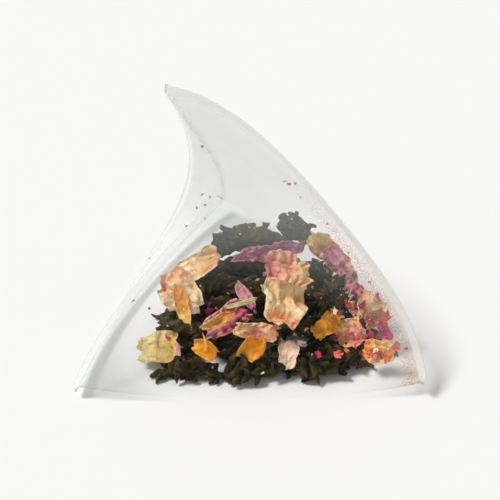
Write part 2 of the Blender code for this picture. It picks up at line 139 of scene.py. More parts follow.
# Each row: node, the leaf's look, a number that makes it unlike the others, turns of its roll.
LEAVES = [
    ("leaf_front_left", "dark", 1, 1.5),
    ("leaf_front_middle", "dark", 2, 1.4),
    ("leaf_front_right", "dark", 3, 1.5),
    ("leaf_low_left", "olive", 4, 1.3),
    ("leaf_low_middle", "dark", 5, 1.5),
    ("leaf_low_right", "brown", 6, 1.4),
    ("leaf_pointed", "dark", 7, 1.7),
    ("leaf_far_right", "olive", 8, 1.3),
    ("leaf_bed_01", "dark", 9, 1.5),
    ("leaf_bed_02", "dark", 10, 1.4),
    ("leaf_bed_03", "brown", 11, 1.5),
    ("leaf_bed_04", "dark", 12, 1.6),
    ("leaf_bed_05", "dark", 13, 1.5),
    ("leaf_bed_06", "dark", 14, 1.4),
    ("leaf_bed_07", "brown", 15, 1.5),
    ("leaf_bed_08", "dark", 16, 1.3),
    ("leaf_bed_09", "dark", 17, 1.5),
    ("leaf_bed_10", "olive", 18, 1.4),
    ("leaf_left", "olive", 19, 1.3),
    ("leaf_middle", "dark", 20, 1.5),
    ("leaf_middle_left", "brown", 21, 1.6),
    ("leaf_middle_right", "dark", 22, 1.4),
    ("leaf_right", "olive", 23, 1.5),
    ("leaf_bed_11", "dark", 24, 1.5),
    ("leaf_upper_right", "brown", 25, 1.3),
    ("leaf_bed_12", "dark", 26, 1.4),
    ("leaf_bed_13", "dark", 27, 1.6),
    ("leaf_bed_14", "dark", 32, 1.4),
    ("leaf_bed_15", "brown", 33, 1.5),
    ("leaf_upper_left", "dark", 28, 1.5),
    ("leaf_top_left", "olive", 29, 1.4),
    ("leaf_top_hazy", "olive", 30, 1.3),
    ("leaf_top_middle", "brown", 31, 1.5),
]

# How each kind of petal is creased: folds across it, folds along it, a frilled rim, a cupped
# form, how ragged its outline is, how square its ends are and its share of its node's width.
CREASES = {
    "crumpled": (1.00, 0.25, 0.25, 0.35, 0.18, 0.70, 1.0),
    "ridged": (0.65, 1.40, 0.30, 0.30, 0.18, 0.55, 1.0),
    "cupped": (0.80, 0.20, 0.50, 0.90, 0.18, 0.70, 1.0),
    "chip": (0.35, 0.15, 0.05, 0.20, 0.16, 0.90, 1.0),
    "sliver": (0.30, 0.35, 0.10, 0.40, 0.12, 0.25, 1.0),
    "curly": (0.90, 0.80, 1.50, 0.20, 0.24, 0.60, 1.0),
    "narrow": (0.70, 0.70, 0.45, 0.70, 0.25, 0.40, 0.62),
    "ruffled": (0.90, 0.20, 1.20, 0.20, 0.24, 0.60, 0.74),
    "stem": (0.15, 0.60, 0.00, 0.60, 0.05, 0.80, 0.45),
}

# The folds of a crumpled petal, as distance from fold to fold and depth: straight ones first,
# then wandering ones. Then the distances between its pleats, coarse and fine, between the waves of
# its frill, and between the places where it is pushed aside.
FOLDS_MM = ((7.0, 1.30), (3.8, 0.60))
WRINKLES_MM = ((4.0, 0.80), (2.0, 0.35), (1.0, 0.12))
PLEATS_MM = (2.4, 1.1)
FRILL_MM = 0.95
PUSH_MM = 2.2

# Each row: node, the petal's look, how it is creased, a number of its own, and 1 or -1 for the
# end that its claw is at.
PETALS = [
    ("petal_mauve_long", "mauve", "ruffled", 3, 1),
    ("petal_orange_small", "golden", "crumpled", 5, -1),
    ("petal_peach_ridged", "peach", "ridged", 7, 1),
    ("petal_peach_large", "peach", "crumpled", 11, -1),
    ("petal_peach_narrow", "golden", "narrow", 13, 1),
    ("petal_cream_left", "cream", "crumpled", 17, 1),
    ("petal_pink_tan", "pink", "curly", 19, 1),
    ("petal_tan_strip", "golden", "narrow", 23, 1),
    ("petal_mauve_low", "coral", "ruffled", 29, 1),
    ("petal_peach_centre", "blush", "crumpled", 31, -1),
    ("petal_coral_centre", "coral", "curly", 37, -1),
    ("petal_purple_tip", "golden", "ridged", 41, 1),
    ("petal_mauve_right", "rose", "ridged", 43, -1),
    ("petal_magenta_right", "magenta", "crumpled", 47, 1),
    ("petal_pink_right", "rose", "crumpled", 53, 1),
    ("petal_dusty_pink", "rose", "curly", 59, 1),
    ("petal_golden_right", "blush", "cupped", 61, -1),
    ("petal_coral_cup", "coral", "cupped", 67, 1),
    ("petal_magenta_sliver", "hot_pink", "chip", 71, 1),
    ("petal_orange_brown", "amber", "ruffled", 73, 1),
    ("petal_yellow_right", "golden", "crumpled", 79, -1),
    ("petal_orange_low", "orange", "chip", 83, 1),
    ("petal_orange_left", "orange", "chip", 89, 1),
    ("petal_pale_low", "pale", "chip", 97, 1),
    ("petal_pink_middle", "rose", "sliver", 101, 1),
    ("stem_green", "straw", "stem", 103, 1),
]

# Colours of the leaves, as sRGB: painted shade in the folds, the face, painted highlight on ridges.
LEAF_COLOURS = {
    "dark": ("151308", "373218", "625534"),
    "olive": ("1b1a0c", "444224", "776f46"),
    "brown": ("1d160a", "473a20", "7a6240"),
}
WARM_PATCHES = "5e4022"

# Colours of the petals, as sRGB: the claw, the face, the tip and the folds. The folds colour is
# painted shade in the folds and wrinkles, and the veins' own colour.
PETAL_COLOURS = {
    "peach": ("fff0c8", "ffdba4", "fbba92", "cc7e34"),
    "blush": ("fff0c4", "ffdea2", "f8b090", "c87a28"),
    "golden": ("ffdb88", "ffb65c", "f08e3e", "ac5c12"),
    "cream": ("fbe8a2", "f2d384", "dcae54", "90601e"),
    "coral": ("ffd898", "fcae96", "f08e9a", "b25648"),
    "pink": ("fab2aa", "e98298", "d05682", "8a2a56"),
    "rose": ("fad0bc", "f0a2ac", "dc78a0", "9c486c"),
    "mauve": ("f2a8ba", "d66c96", "b0487e", "6c2858"),
    "magenta": ("d95a88", "c23570", "9e1a53", "620f35"),
    "hot_pink": ("ff6aa8", "f5489a", "e62e80", "b01e5c"),
    "orange": ("fbb03c", "f09a1c", "db8310", "9c560a"),
    "amber": ("f0a838", "cf8020", "9a5216", "4a2209"),
    "pale": ("ffe4c8", "fcd9bd", "f5c4aa", "d49a82"),
    "straw": ("e8e9ac", "d9da90", "bfc26c", "8f9148"),
}

# Colours of the loose bits, as sRGB.
BIT_COLOURS = ("e8b9a0", "d98a76", "c8607c", "b02f62", "e39a3c", "ead59a", "f1dccb", "8f4a68")
FLAKE_COLOURS = ("f4b468", "ea7c46", "e2686e", "d66c16", "843f10", "b04a1e", "e68aa0", "c02c6a")
CRUMB_COLOURS = ("f1dccb", "ead59a", "f0e6d2", "e8b9a0")

# The ways in which bits come to lie: straight down, or along the view onto the heap's front. Each
# area is two opposite corners in millimetres between which they aim.
DOWN = (0, 0, -1)
SLOPE = (0, 0.79, -0.61)
HEAP_AREA = ((-16, -21, 0), (23, 6, 1))
TOP_AREA = ((-9, -7, 0), (17, 7, 1))
FRONT_AREA = ((-18, -24, 0), (25, 10, 16))
FOOT_AREA = ((-19, -27, 1), (20, -20, 4))
SIDE_AREA = ((13, -20, 4), (23, 2, 12))
RIGHT_AREA = ((16, -24, 0), (29, -4, 8))

# A bit aims from this far off, and has this many tries to land. Then how far each kind of bit
# stays from the film.
AIM_FROM = 0.08
TRIES = 14
SHRED_CLEAR = 0.0004
FLAKE_CLEAR = 0.0003
CHIP_CLEAR = 0.0001

# Least and greatest half length, width and height of a shred, in millimetres.
SHRED_HALVES = ((1.1, 0.6, 0.5), (2.6, 1.1, 0.9))

# The rounds in which shreds land: name, look, way, area, and share of the full size.
SHRED_ROUNDS = (
    ("low_shreds", "dark", DOWN, HEAP_AREA, 1.0),
    ("side_shreds", "olive", SLOPE, SIDE_AREA, 1.0),
    ("front_shreds", "brown", SLOPE, FRONT_AREA, 1.0),
    ("top_shreds", "dark", DOWN, TOP_AREA, 0.6),
    ("foot_shreds", "dark", SLOPE, FOOT_AREA, 1.0),
)

# The kinds of petal bit: name, the setting that counts them, area, least and greatest half length
# in millimetres, length, width and height as shares of it, colours, and slot.
BIT_KINDS = (
    ("petal_flakes", "flakes", RIGHT_AREA, (0.4, 1.1), (1.0, 0.7, 0.35), FLAKE_COLOURS, "petal_pink"),
    ("petal_scraps", "scraps", FRONT_AREA, (0.2, 0.5), (1.0, 0.6, 0.35), BIT_COLOURS, "petal_pink"),
    ("pale_crumbs", "crumbs", FRONT_AREA, (0.12, 0.30), (1.0, 0.6, 0.5), CRUMB_COLOURS, "petal_pale"),
)

# The eye that places single bits: it stands by the camera. Then the middle of its view, and that
# view's own directions.
EYE = (0.0002, -0.16986, 0.1426)
VIEW_MIDDLE = (0.0002, -0.0074, 0.0179)
VIEW_ACROSS = (1.0, 0.0, 0.0)
VIEW_UP = (0.0, 0.6088, 0.7934)

# Bits that lie on the heap, in millimetres in the eye's view: across, up, length, width, heading
# in degrees, and colour.
CHIPS = [
    (-7.5, -11.0, 2.4, 1.3, 60, "d03a78"),
    (2.5, -7.5, 2.6, 1.0, 95, "e3d79a"),
    (-8.5, -17.0, 2.8, 0.5, 100, "e3bf57"),
    (19.0, -7.0, 2.8, 1.6, 25, "eaa0b4"),
    (15.5, -4.0, 2.0, 1.1, -30, "e6c9a0"),
    (10.5, -18.0, 2.8, 1.1, -20, "d987a8"),
    (12.5, -20.0, 2.4, 2.0, 35, "cf2a6c"),
    (-15.5, -16.5, 1.3, 0.8, -30, "b02f62"),
    (-13.5, -19.0, 3.4, 1.1, 100, "d98ab0"),
    (20.5, -18.0, 3.4, 1.9, 10, "ec8f3c"),
    (23.5, -18.5, 1.9, 1.2, 20, "f0dcae"),
    (26.0, -19.5, 1.9, 1.2, -15, "d8742e"),
    (21.0, -19.5, 1.6, 0.9, 10, "c8506a"),
    (24.5, -16.0, 2.0, 1.2, 45, "a3541f"),
    (22.5, -14.5, 1.8, 1.0, 130, "f0c48c"),
    (25.5, -10.5, 2.2, 1.2, 70, "f3cfa6"),
    (11.5, -7.0, 0.9, 0.7, 0, "f1dccb"),
    (19.0, -8.5, 1.0, 0.8, 40, "f3e6cf"),
    (16.0, -11.5, 1.3, 0.9, 70, "f0dfb4"),
    (17.5, -12.5, 0.9, 0.7, 10, "f1dccb"),
    (10.5, -15.0, 1.1, 0.7, 50, "ead59a"),
    (16.0, -4.5, 1.0, 0.7, 80, "f1e6d4"),
    (13.5, -1.0, 1.0, 0.8, 20, "ecd9b0"),
    (-7.0, -9.0, 0.9, 0.7, 30, "e8b9a0"),
    (-4.0, -8.0, 0.8, 0.6, 60, "f1dccb"),
    (1.5, -5.5, 1.0, 0.7, 10, "ead59a"),
    (1.0, -11.5, 1.1, 0.8, 90, "e8b9a0"),
    (3.5, -9.5, 0.9, 0.7, 45, "f1dccb"),
    (16.5, -17.5, 0.9, 0.7, 20, "211a10"),
    (18.0, -17.5, 0.8, 0.6, 70, "211a10"),
    (19.0, -20.0, 1.0, 0.7, 40, "211a10"),
    (16.5, -20.5, 1.1, 0.8, 10, "211a10"),
]

# Specks that cling to the film's inner side, in the same terms.
SPECKS = [
    (-9.0, 19.5, 0.5, 0.4, 0, "4a3a2c"),
    (-9.0, 10.5, 0.6, 0.4, 30, "4a3a2c"),
    (-7.5, 10.0, 0.7, 0.5, 80, "d08a4c"),
    (-8.5, 8.5, 0.6, 0.5, 50, "3c2c1e"),
    (-10.0, 8.0, 0.7, 0.5, 10, "8a6a4a"),
    (-8.5, 6.0, 0.5, 0.4, 60, "5a4836"),
    (-12.0, 4.5, 0.4, 0.4, 0, "6a5846"),
    (-19.0, -1.5, 0.5, 0.4, 20, "5a4836"),
    (-22.0, -9.5, 0.5, 0.4, 20, "5a4836"),
    (-19.0, -11.0, 0.5, 0.4, 20, "5a4836"),
    (9.0, 7.0, 0.5, 0.5, 0, "3c2c1e"),
    (9.5, 6.0, 0.5, 0.4, 40, "3c2c1e"),
    (6.5, 13.0, 0.7, 0.4, 20, "b8624a"),
    (7.5, 12.5, 0.8, 0.5, 0, "b06a4e"),
    (8.5, 12.5, 0.6, 0.4, 60, "c47a5a"),
    (9.5, 10.0, 0.4, 0.4, 0, "d09a80"),
    (14.5, 5.0, 0.5, 0.4, 0, "c98a76"),
    (18.5, -0.5, 0.5, 0.4, 0, "c98a76"),
    (22.5, -6.0, 0.6, 0.4, 0, "b86a5e"),
    (29.5, -18.5, 0.6, 0.5, 0, "8a3a4a"),
]

# How far past the heap or the film, along the eye's view, a chip or a speck lies.
CHIP_PAST = -0.0004
SPECK_PAST = 0.0003

# The stage: the floor's half width and colour, and how bright the sky looks where it is seen.
FLOOR_REACH = 4.0
FLOOR_HEX = "f2f2f1"
SKY_SEEN = 0.94


def linear(text):
    """A hex sRGB colour as linear RGBA, by the sRGB curve."""
    steps = np.array([int(text[i : i + 2], 16) / 255 for i in (0, 2, 4)])
    curve = np.where(steps <= 0.04045, steps / 12.92, ((steps + 0.055) / 1.055) ** 2.4)
    return (*curve.tolist(), 1.0)


def unit(vectors):
    """The vectors at length 1."""
    return vectors / np.maximum(np.linalg.norm(vectors, axis=-1, keepdims=True), 1e-12)


def smooth(x, low, high):
    """0 below low, 1 above high, and 3t^2 - 2t^3 between them."""
    t = np.clip((x - low) / (high - low), 0, 1)
    return t * t * (3 - 2 * t)


def hashed(cells, seed):
    """A number from -1 to 1 for each whole-number cell, by multiplying and folding its bits."""
    cells = cells.astype(np.int64)
    mixed = cells[..., 0] * 374761393 + cells[..., 1] * 668265263 + cells[..., 2] * 1274126177
    mixed = (mixed + seed * 2246822519) & 0xFFFFFFFF
    mixed = ((mixed ^ (mixed >> 13)) * 1103515245) & 0xFFFFFFFF
    return ((mixed ^ (mixed >> 16)) & 0xFFFF) / 32767.5 - 1


def noise(points, seed):
    """Value noise: the hashed numbers at a cell's eight corners, blended by t^2(3 - 2t)."""
    base = np.floor(points)
    t = points - base
    t = t * t * (3 - 2 * t)
    total = 0
    for corner in np.ndindex(2, 2, 2):
        share = np.prod(np.where(np.array(corner) == 1, t, 1 - t), axis=-1)
        total = total + share * hashed(base + corner, seed)
    return total


def flat_noise(x, y, seed):
    """Value noise over a plane."""
    x, y = np.broadcast_arrays(x, y)
    return noise(np.stack([x, y, np.full(x.shape, 0.37)], -1), seed)


def crease(phase):
    """A wave of straight slopes and sharp ridges: the arcsine of a sine, kept a little round."""
    return np.arcsin(0.97 * np.sin(2 * pi * phase)) / np.arcsin(0.97)


def bezier(points, t):
    """The Bezier curve of any degree through its control points, for an array of t."""
    points = np.array(points, float)
    t = np.asarray(t, float)[:, None]
    last = len(points) - 1
    return sum(comb(last, i) * t**i * (1 - t) ** (last - i) * p for i, p in enumerate(points))


def grid_uv(rows, columns, low=0):
    """How far along a sheet each row lies, from 0 to 1, and across it each column, from low to 1."""
    return np.linspace(0, 1, rows)[:, None], np.linspace(low, 1, columns)[None, :]


def grid_faces(rows, columns, around=False):
    """The quads of a grid of points. With around set, the last column joins the first."""
    i, j = np.meshgrid(np.arange(rows - 1), np.arange(columns - (not around)), indexing="ij")
    k = (j + 1) % columns
    corners = (i, j), (i, k), (i + 1, k), (i + 1, j)
    return np.stack([row * columns + column for row, column in corners], -1).reshape(-1, 4)


def grid_fields(grid, **fields):
    """Each field as one value from 0 to 1 for each point of a grid."""
    full = {name: np.broadcast_to(values, grid.shape[:2]) for name, values in fields.items()}
    return {name: np.clip(values, 0, 1).ravel() for name, values in full.items()}


def make_mesh(name, points, faces, fields, material):
    """A smooth mesh object from arrays of points and faces, with point fields as attributes."""
    mesh = bpy.data.meshes.new(name)
    mesh.vertices.add(points.size // 3)
    mesh.vertices.foreach_set("co", np.ascontiguousarray(points, np.float32).ravel())
    mesh.loops.add(faces.size)
    mesh.loops.foreach_set("vertex_index", faces.astype(np.int32).ravel())
    mesh.polygons.add(len(faces))
    starts = np.arange(0, faces.size, faces.shape[1], dtype=np.int32)
    mesh.polygons.foreach_set("loop_start", starts)
    mesh.update(calc_edges=True)
    mesh.validate()
    for field, values in fields.items():
        kind, part = ("FLOAT", "value") if values.ndim == 1 else ("FLOAT_COLOR", "color")
        made = mesh.attributes.new(field, kind, "POINT")
        made.data.foreach_set(part, values.astype(np.float32).ravel())
    mesh.shade_smooth()
    mesh.materials.append(material)
    thing = bpy.data.objects.new(name, mesh)
    bpy.context.scene.collection.objects.link(thing)
    return thing


def thicken(thing, thickness, offset=0.0):
    """Gives a sheet its thickness, to both sides alike, or to its outer side with offset 1."""
    shell = thing.modifiers.new("thickness", "SOLIDIFY")
    shell.thickness = thickness
    shell.offset = offset
    shell.use_rim = True


def join_object(thing, slot, *nodes):
    """Makes a piece part of the tea bag, in place of the nodes that it stands for."""
    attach(thing, BODY)
    if nodes:
        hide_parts(*nodes)
    return thing


def lie_of(name):
    """A node's middle, its long, wide and thin directions, and half its size along each."""
    mesh = frame["nodes"][name].data
    points = np.empty(len(mesh.vertices) * 3, np.float32)
    mesh.vertices.foreach_get("co", points)
    points = np.unique(points.reshape(-1, 3).round(7), axis=0).astype(float)
    middle = points.mean(0)
    axes = np.linalg.svd(points - middle, full_matrices=False)[2]
    if axes[0] @ RIGHTWARDS < 0:
        axes[0] = -axes[0]
    if axes[2] @ EYEWARDS < 0:
        axes[2] = -axes[2]
    axes[1] = np.cross(axes[2], axes[0])
    reach = (points - middle) @ axes.T
    low, high = reach.min(0), reach.max(0)
    return middle + (low + high) / 2 @ axes, axes, (high - low) / 2


def fill(shape, half):
    """Stretches a shape so that it reaches half each way, but for its few highest and lowest points."""
    flat = shape.reshape(-1, 3)
    low, high = flat.min(0), flat.max(0)
    low[2], high[2] = np.percentile(flat[:, 2], (1.5, 98.5))
    return (shape - (low + high) / 2) / np.maximum((high - low) / 2, 1e-9) * half


def feed(tree, node, inputs):
    """Gives each socket its value, or the output that feeds it."""
    for name, value in inputs.items():
        if isinstance(value, bpy.types.NodeSocket):
            tree.links.new(value, node.inputs[name])
        else:
            node.inputs[name].default_value = value


def add(tree, kind, inputs=None, **settings):
    """Adds a node with its settings and its inputs."""
    made = tree.nodes.new(kind)
    for name, value in settings.items():
        setattr(made, name, value)
    feed(tree, made, inputs or {})
    return made


def new_material(name):
    """An empty material: the material, its tree, its Principled shader."""
    material = bpy.data.materials.new(name)
    material.use_nodes = True
    tree = material.node_tree
    return material, tree, tree.nodes["Principled BSDF"]


def ramp(tree, factor, stops):
    """A colour ramp over (place, colour) stops."""
    made = add(tree, "ShaderNodeValToRGB", {"Fac": factor})
    elements = made.color_ramp.elements
    while len(elements) < len(stops):
        elements.new(0.5)
    for element, (place, colour) in zip(elements, stops):
        element.position = place
        element.color = colour
    return made.outputs["Color"]


def maths(tree, operation, first, second=0.0, third=0.0, clamp=False):
    """One Math node's result."""
    inputs = {0: first, 1: second, 2: third}
    return add(tree, "ShaderNodeMath", inputs, operation=operation, use_clamp=clamp).outputs[0]


def times(tree, value, factor, clamp=False):
    """A value times a factor."""
    return maths(tree, "MULTIPLY", value, factor, clamp=clamp)


def scaled(tree, value, factor, shift, clamp=False):
    """A value times a factor, plus a shift."""
    return maths(tree, "MULTIPLY_ADD", value, factor, shift, clamp)


def mixed(tree, factor, first, second, blend="MIX"):
    """Two colours mixed by a factor."""
    inputs = {0: factor, 6: first, 7: second}
    return add(tree, "ShaderNodeMix", inputs, data_type="RGBA", blend_type=blend).outputs[2]


def field(tree, name, part="Fac"):
    """A point attribute's value."""
    return add(tree, "ShaderNodeAttribute", attribute_name=name).outputs[part]


def grain(tree, size_mm, detail=3.0):
    """Noise over the object's own coordinates, with bumps of about size_mm."""
    place = add(tree, "ShaderNodeTexCoord").outputs["Object"]
    form = {"Vector": place, "Scale": 1 / (size_mm * MM), "Detail": detail, "Roughness": 0.6}
    return add(tree, "ShaderNodeTexNoise", form).outputs["Fac"]


def wrinkles(tree, size_mm):
    """Sharp wandering wrinkles: 0 on the lines between cells of about size_mm, 1 well off them."""
    place = add(tree, "ShaderNodeTexCoord").outputs["Object"]
    cell = size_mm * MM
    form = {"Vector": place, "Scale": 0.7 / cell, "Detail": 2.0}
    sway = add(tree, "ShaderNodeTexNoise", form).outputs["Color"]
    shift = {0: sway, 1: [1.6 * cell] * 3, 2: place}
    moved = add(tree, "ShaderNodeVectorMath", shift, operation="MULTIPLY_ADD").outputs[0]
    form = {"Vector": moved, "Scale": 1 / cell}
    cells = add(tree, "ShaderNodeTexVoronoi", form, feature="DISTANCE_TO_EDGE")
    return times(tree, cells.outputs["Distance"], 3.0, clamp=True)


def veins(tree, waves_along, side, waves_across, detail):
    """Fine veins: noise with few waves along a sheet and many over the field that crosses it."""
    along = times(tree, field(tree, "along"), waves_along)
    across = times(tree, field(tree, side), waves_across)
    place = add(tree, "ShaderNodeCombineXYZ", {"X": along, "Y": across}).outputs[0]
    form = {"Vector": place, "Scale": 1.0, "Detail": detail}
    return add(tree, "ShaderNodeTexNoise", form).outputs["Fac"]


def bump(tree, height, depth_mm):
    """A bump of the given depth."""
    form = {"Height": height, "Distance": depth_mm * MM, "Strength": 1.0}
    return add(tree, "ShaderNodeBump", form).outputs["Normal"]


def mesh_film_material(settings):
    """Woven polyamide film: fine clear threads with open gaps, so most of the light goes through.

    It is drawn as a clear veil with a thread pattern. The real threads stand about 0.15 mm apart,
    too fine to show, so the pattern is drawn twice as coarse. Creases and welds crowd the threads
    together, so there the film is less clear, and they are painted near white as a highlight. Over
    the tea the veil is drawn faint, painted shade from the dark tea behind its threads, and fine
    petal dust clings along its upper seal.
    """
    material, tree, shader = new_material("woven_polyamide_film")
    coordinates = add(tree, "ShaderNodeUVMap", uv_map="threads").outputs["UV"]
    parts = add(tree, "ShaderNodeSeparateXYZ", {"Vector": coordinates})
    threads = []
    for axis in ("X", "Y"):
        turn = times(tree, parts.outputs[axis], 2 * pi / settings.thread_spacing)
        threads.append(scaled(tree, maths(tree, "SINE", turn), 0.5, 0.5))
    weave = maths(tree, "MAXIMUM", *threads)
    folded, welded = field(tree, "crease"), field(tree, "weld")
    more_haze = settings.haze_high - settings.haze_low
    # Painted shade: over the heap the veil is drawn faint, as its threads are lit only by the dark tea
    # behind.
    veil = scaled(tree, field(tree, "slack"), more_haze, settings.haze_low)
    veil = times(tree, veil, scaled(tree, weave, 0.30, 0.82))
    veil = times(tree, veil, scaled(tree, grain(tree, 9.0, 2.0), 0.5, 0.75))
    veil = scaled(tree, folded, settings.crease_haze, veil)
    veil = scaled(tree, welded, settings.weld_haze, veil, clamp=True)
    dust = ramp(tree, grain(tree, 0.30, 2.0), [(0.42, BLACK), (0.74, WHITE)])
    dust = times(tree, dust, field(tree, "dust"))
    veil = scaled(tree, dust, 0.40, veil, clamp=True)
    # Painted highlight: the creases and welds take near-white colours; their extra haze is the crowded
    # threads.
    shade = mixed(tree, folded, linear(settings.film_hex), linear(settings.crease_highlight_hex))
    shade = mixed(tree, welded, shade, linear(settings.weld_highlight_hex))
    shade = mixed(tree, times(tree, dust, 3.0, clamp=True), shade, linear(settings.dust_hex))
    finish = {"Base Color": shade, "Alpha": veil, "Roughness": 0.32, "IOR": 1.53}
    feed(tree, shader, {**finish, "Normal": bump(tree, weave, 0.01)})
    return material


def leaf_material(look, colours):
    """Rolled and fired tea leaf with fine veins.

    Its folds are painted near black as shade, and its dull ridges lighter as a painted highlight.
    """
    folds, face, ridge_highlight = (linear(colour) for colour in colours)
    material, tree, shader = new_material(f"fired_tea_leaf_{look}")
    # Painted shade and highlight: the leaf's dents and pleats pick near black in its folds and a
    # lighter colour on its ridges, with noise between.
    level = scaled(tree, field(tree, "relief"), 0.7, -0.25)
    level = scaled(tree, grain(tree, 1.1, 4.0), 0.8, level)
    colour = ramp(tree, level, [(0.28, folds), (0.54, face), (0.84, ridge_highlight)])
    warm = ramp(tree, grain(tree, 3.2, 2.0), [(0.48, BLACK), (0.66, GREY)])
    colour = mixed(tree, warm, colour, linear(WARM_PATCHES))
    height = maths(tree, "ADD", veins(tree, 5.0, "around", 60.0, 4.0), grain(tree, 0.35))
    finish = {"Base Color": colour, "Roughness": 0.75, "Specular IOR Level": 0.08}
    feed(tree, shader, {**finish, "Normal": bump(tree, height, 0.16)})
    return material


def petal_material(look, colours):
    """Air-dried petal: thin and papery, pale at its claw, darker at its tip, with painted shade in its
    folds.

    Its ridges and its rim fade to the claw's colour as a painted highlight. Its wrinkles take the
    colour of the folds as painted shade, and its veins take it as their own colour.
    """
    claw, face, tip, folds = (linear(colour) for colour in colours)
    material, tree, shader = new_material(f"dried_petal_{look}")
    relief = field(tree, "relief")
    level = scaled(tree, field(tree, "along"), 0.9, -0.45)
    level = scaled(tree, grain(tree, 2.2), 0.9, level)
    broad, fine = wrinkles(tree, 3.4), wrinkles(tree, 1.2)
    streaks = veins(tree, 3.0, "side", 16.0, 3.0)
    rim = maths(tree, "POWER", field(tree, "across"), 7.0)
    colour = ramp(tree, level, [(0.12, claw), (0.5, face), (0.92, tip)])
    # Painted shade: the low places of the relief take the colour of the folds.
    colour = mixed(tree, scaled(tree, relief, -1.3, 0.48, clamp=True), colour, folds)
    # Painted highlight: the high places of the relief take the claw's colour.
    colour = mixed(tree, scaled(tree, relief, 1.6, -0.9, clamp=True), colour, claw)
    # Painted shade along the lines of the broad wrinkles.
    colour = mixed(tree, scaled(tree, broad, -0.45, 0.30, clamp=True), colour, folds)
    # Painted highlight: the rim takes the claw's colour.
    colour = mixed(tree, times(tree, rim, 0.55), colour, claw)
    colour = mixed(tree, scaled(tree, streaks, 0.8, -0.36, clamp=True), colour, folds)
    height = scaled(tree, broad, 0.9, times(tree, fine, 0.30))
    height = maths(tree, "ADD", height, times(tree, streaks, 0.5))
    finish = {"Base Color": colour, "Roughness": 0.62, "Specular IOR Level": 0.25}
    feed(tree, shader, {**finish, "Normal": bump(tree, height, 0.42)})
    return material


def bit_material():
    """Broken bits of petal and leaf, each with its own colour and a papery grain."""
    material, tree, shader = new_material("petal_crumbs")
    shade = scaled(tree, grain(tree, 0.6), 0.8, 0.6)
    grey = add(tree, "ShaderNodeCombineColor", {0: shade, 1: shade, 2: shade}).outputs[0]
    colour = mixed(tree, 1.0, field(tree, "tint", "Color"), grey, "MULTIPLY")
    finish = {"Base Color": colour, "Roughness": 0.6}
    feed(tree, shader, {**finish, "Normal": bump(tree, grain(tree, 0.4), 0.08)})
    return material


def away_from(inner, *corners):
    """The unit normal of the face through three corners that points away from the fourth."""
    normal = unit(np.cross(corners[1] - corners[0], corners[2] - corners[0]))
    return normal if normal @ (corners[0] - inner) > 0 else -normal


def face_row(fold_one, fold_two, seal, row, swell, lift):
    """One row of a face: a line from fold to fold, plus the seal's bow, plus a swell."""
    s = row / ROWS
    t = np.linspace(0, 1, max(row, 1) + 1)
    ends = bezier(fold_one, [s])[0], bezier(fold_two, [s])[0]
    straight = (1 - t[:, None]) * ends[0] + t[:, None] * ends[1]
    edge = bezier(seal, t)
    bow = (edge - (1 - t[:, None]) * edge[0] - t[:, None] * edge[-1]) * s**BOW_POWER
    belly = swell * np.sin(pi * s) * np.sin(pi * t)[:, None] * s * 2
    return straight + bow + belly * np.array(lift)


def film_rings():
    """The film as rings round its tube: across the front, under the base, up the two backs."""
    a, b, c, t = (np.array(corner) for corner in (CORNER_A, CORNER_B, CORNER_C, CORNER_T))
    front_out, back_out, left_out = away_from(c, a, b, t), away_from(a, b, c, t), away_from(b, a, c, t)
    rings = []
    for row in range(ROWS + 1):
        rest = ROWS - row
        front = face_row(FOLD_AT, FOLD_AB, SEAL_TB, row, SWELL_FRONT_MM, front_out)
        back = face_row(FOLD_CT, FOLD_CB, SEAL_TB, row, SWELL_BACK_MM, back_out)
        left = face_row(FOLD_AT[::-1], FOLD_CT[::-1], SEAL_AC, rest, SWELL_LEFT_MM, left_out)
        base = face_row(FOLD_AB[::-1], FOLD_CB[::-1], SEAL_AC, rest, SAG_BASE_MM, DOWN)
        if row == 0:
            front, back = front[:1], back[:1]
        if row == ROWS:
            left, base = left[:1], base[:1]
        ring = np.vstack([front, base[1:], back[::-1][1:], left[::-1][1:-1]])
        rings.append(ring[: 2 * ROWS])
    return np.array(rings)


def press(ring, beside, reach):
    """A ring of a fin: its two layers a hair apart, moved out from the bag by reach."""
    order = np.arange(ROWS + 1)
    mirror = -order % (2 * ROWS)
    line = (ring[order] + ring[mirror]) / 2
    along = unit(np.gradient(line, axis=0))
    out = line - (beside[order] + beside[mirror]) / 2
    out = unit(out - (out * along).sum(1)[:, None] * along)
    across = np.cross(along, out)
    if ((beside[order] - beside[mirror]) * across).sum() < 0:
        across = -across
    apart = np.full((ROWS + 1, 1), SEAL_GAP_MM / 2)
    apart[[0, -1]] = 0
    pressed = ring.copy()
    pressed[order] = line + out * reach + across * apart
    pressed[mirror] = line + out * reach - across * apart
    return pressed


def film_grid(thickness):
    """All rings of the film's inner face, in metres: a fin, the tube, the other fin."""
    rings = film_rings()
    rings[:, :, 2] = np.maximum(rings[:, :, 2], thickness / MM)
    reaches = np.linspace(0, FIN_WIDTH_MM, FIN_ROWS + 1)
    low = [press(rings[0], rings[2], reach) for reach in reaches[::-1]]
    high = [press(rings[-1], rings[-3], reach) for reach in reaches]
    grid = np.array([*low, *rings[1:-1], *high])
    middle = (grid.min((0, 1)) + grid.max((0, 1))) / 2
    middle[2] = 0
    return (grid - middle) * MM


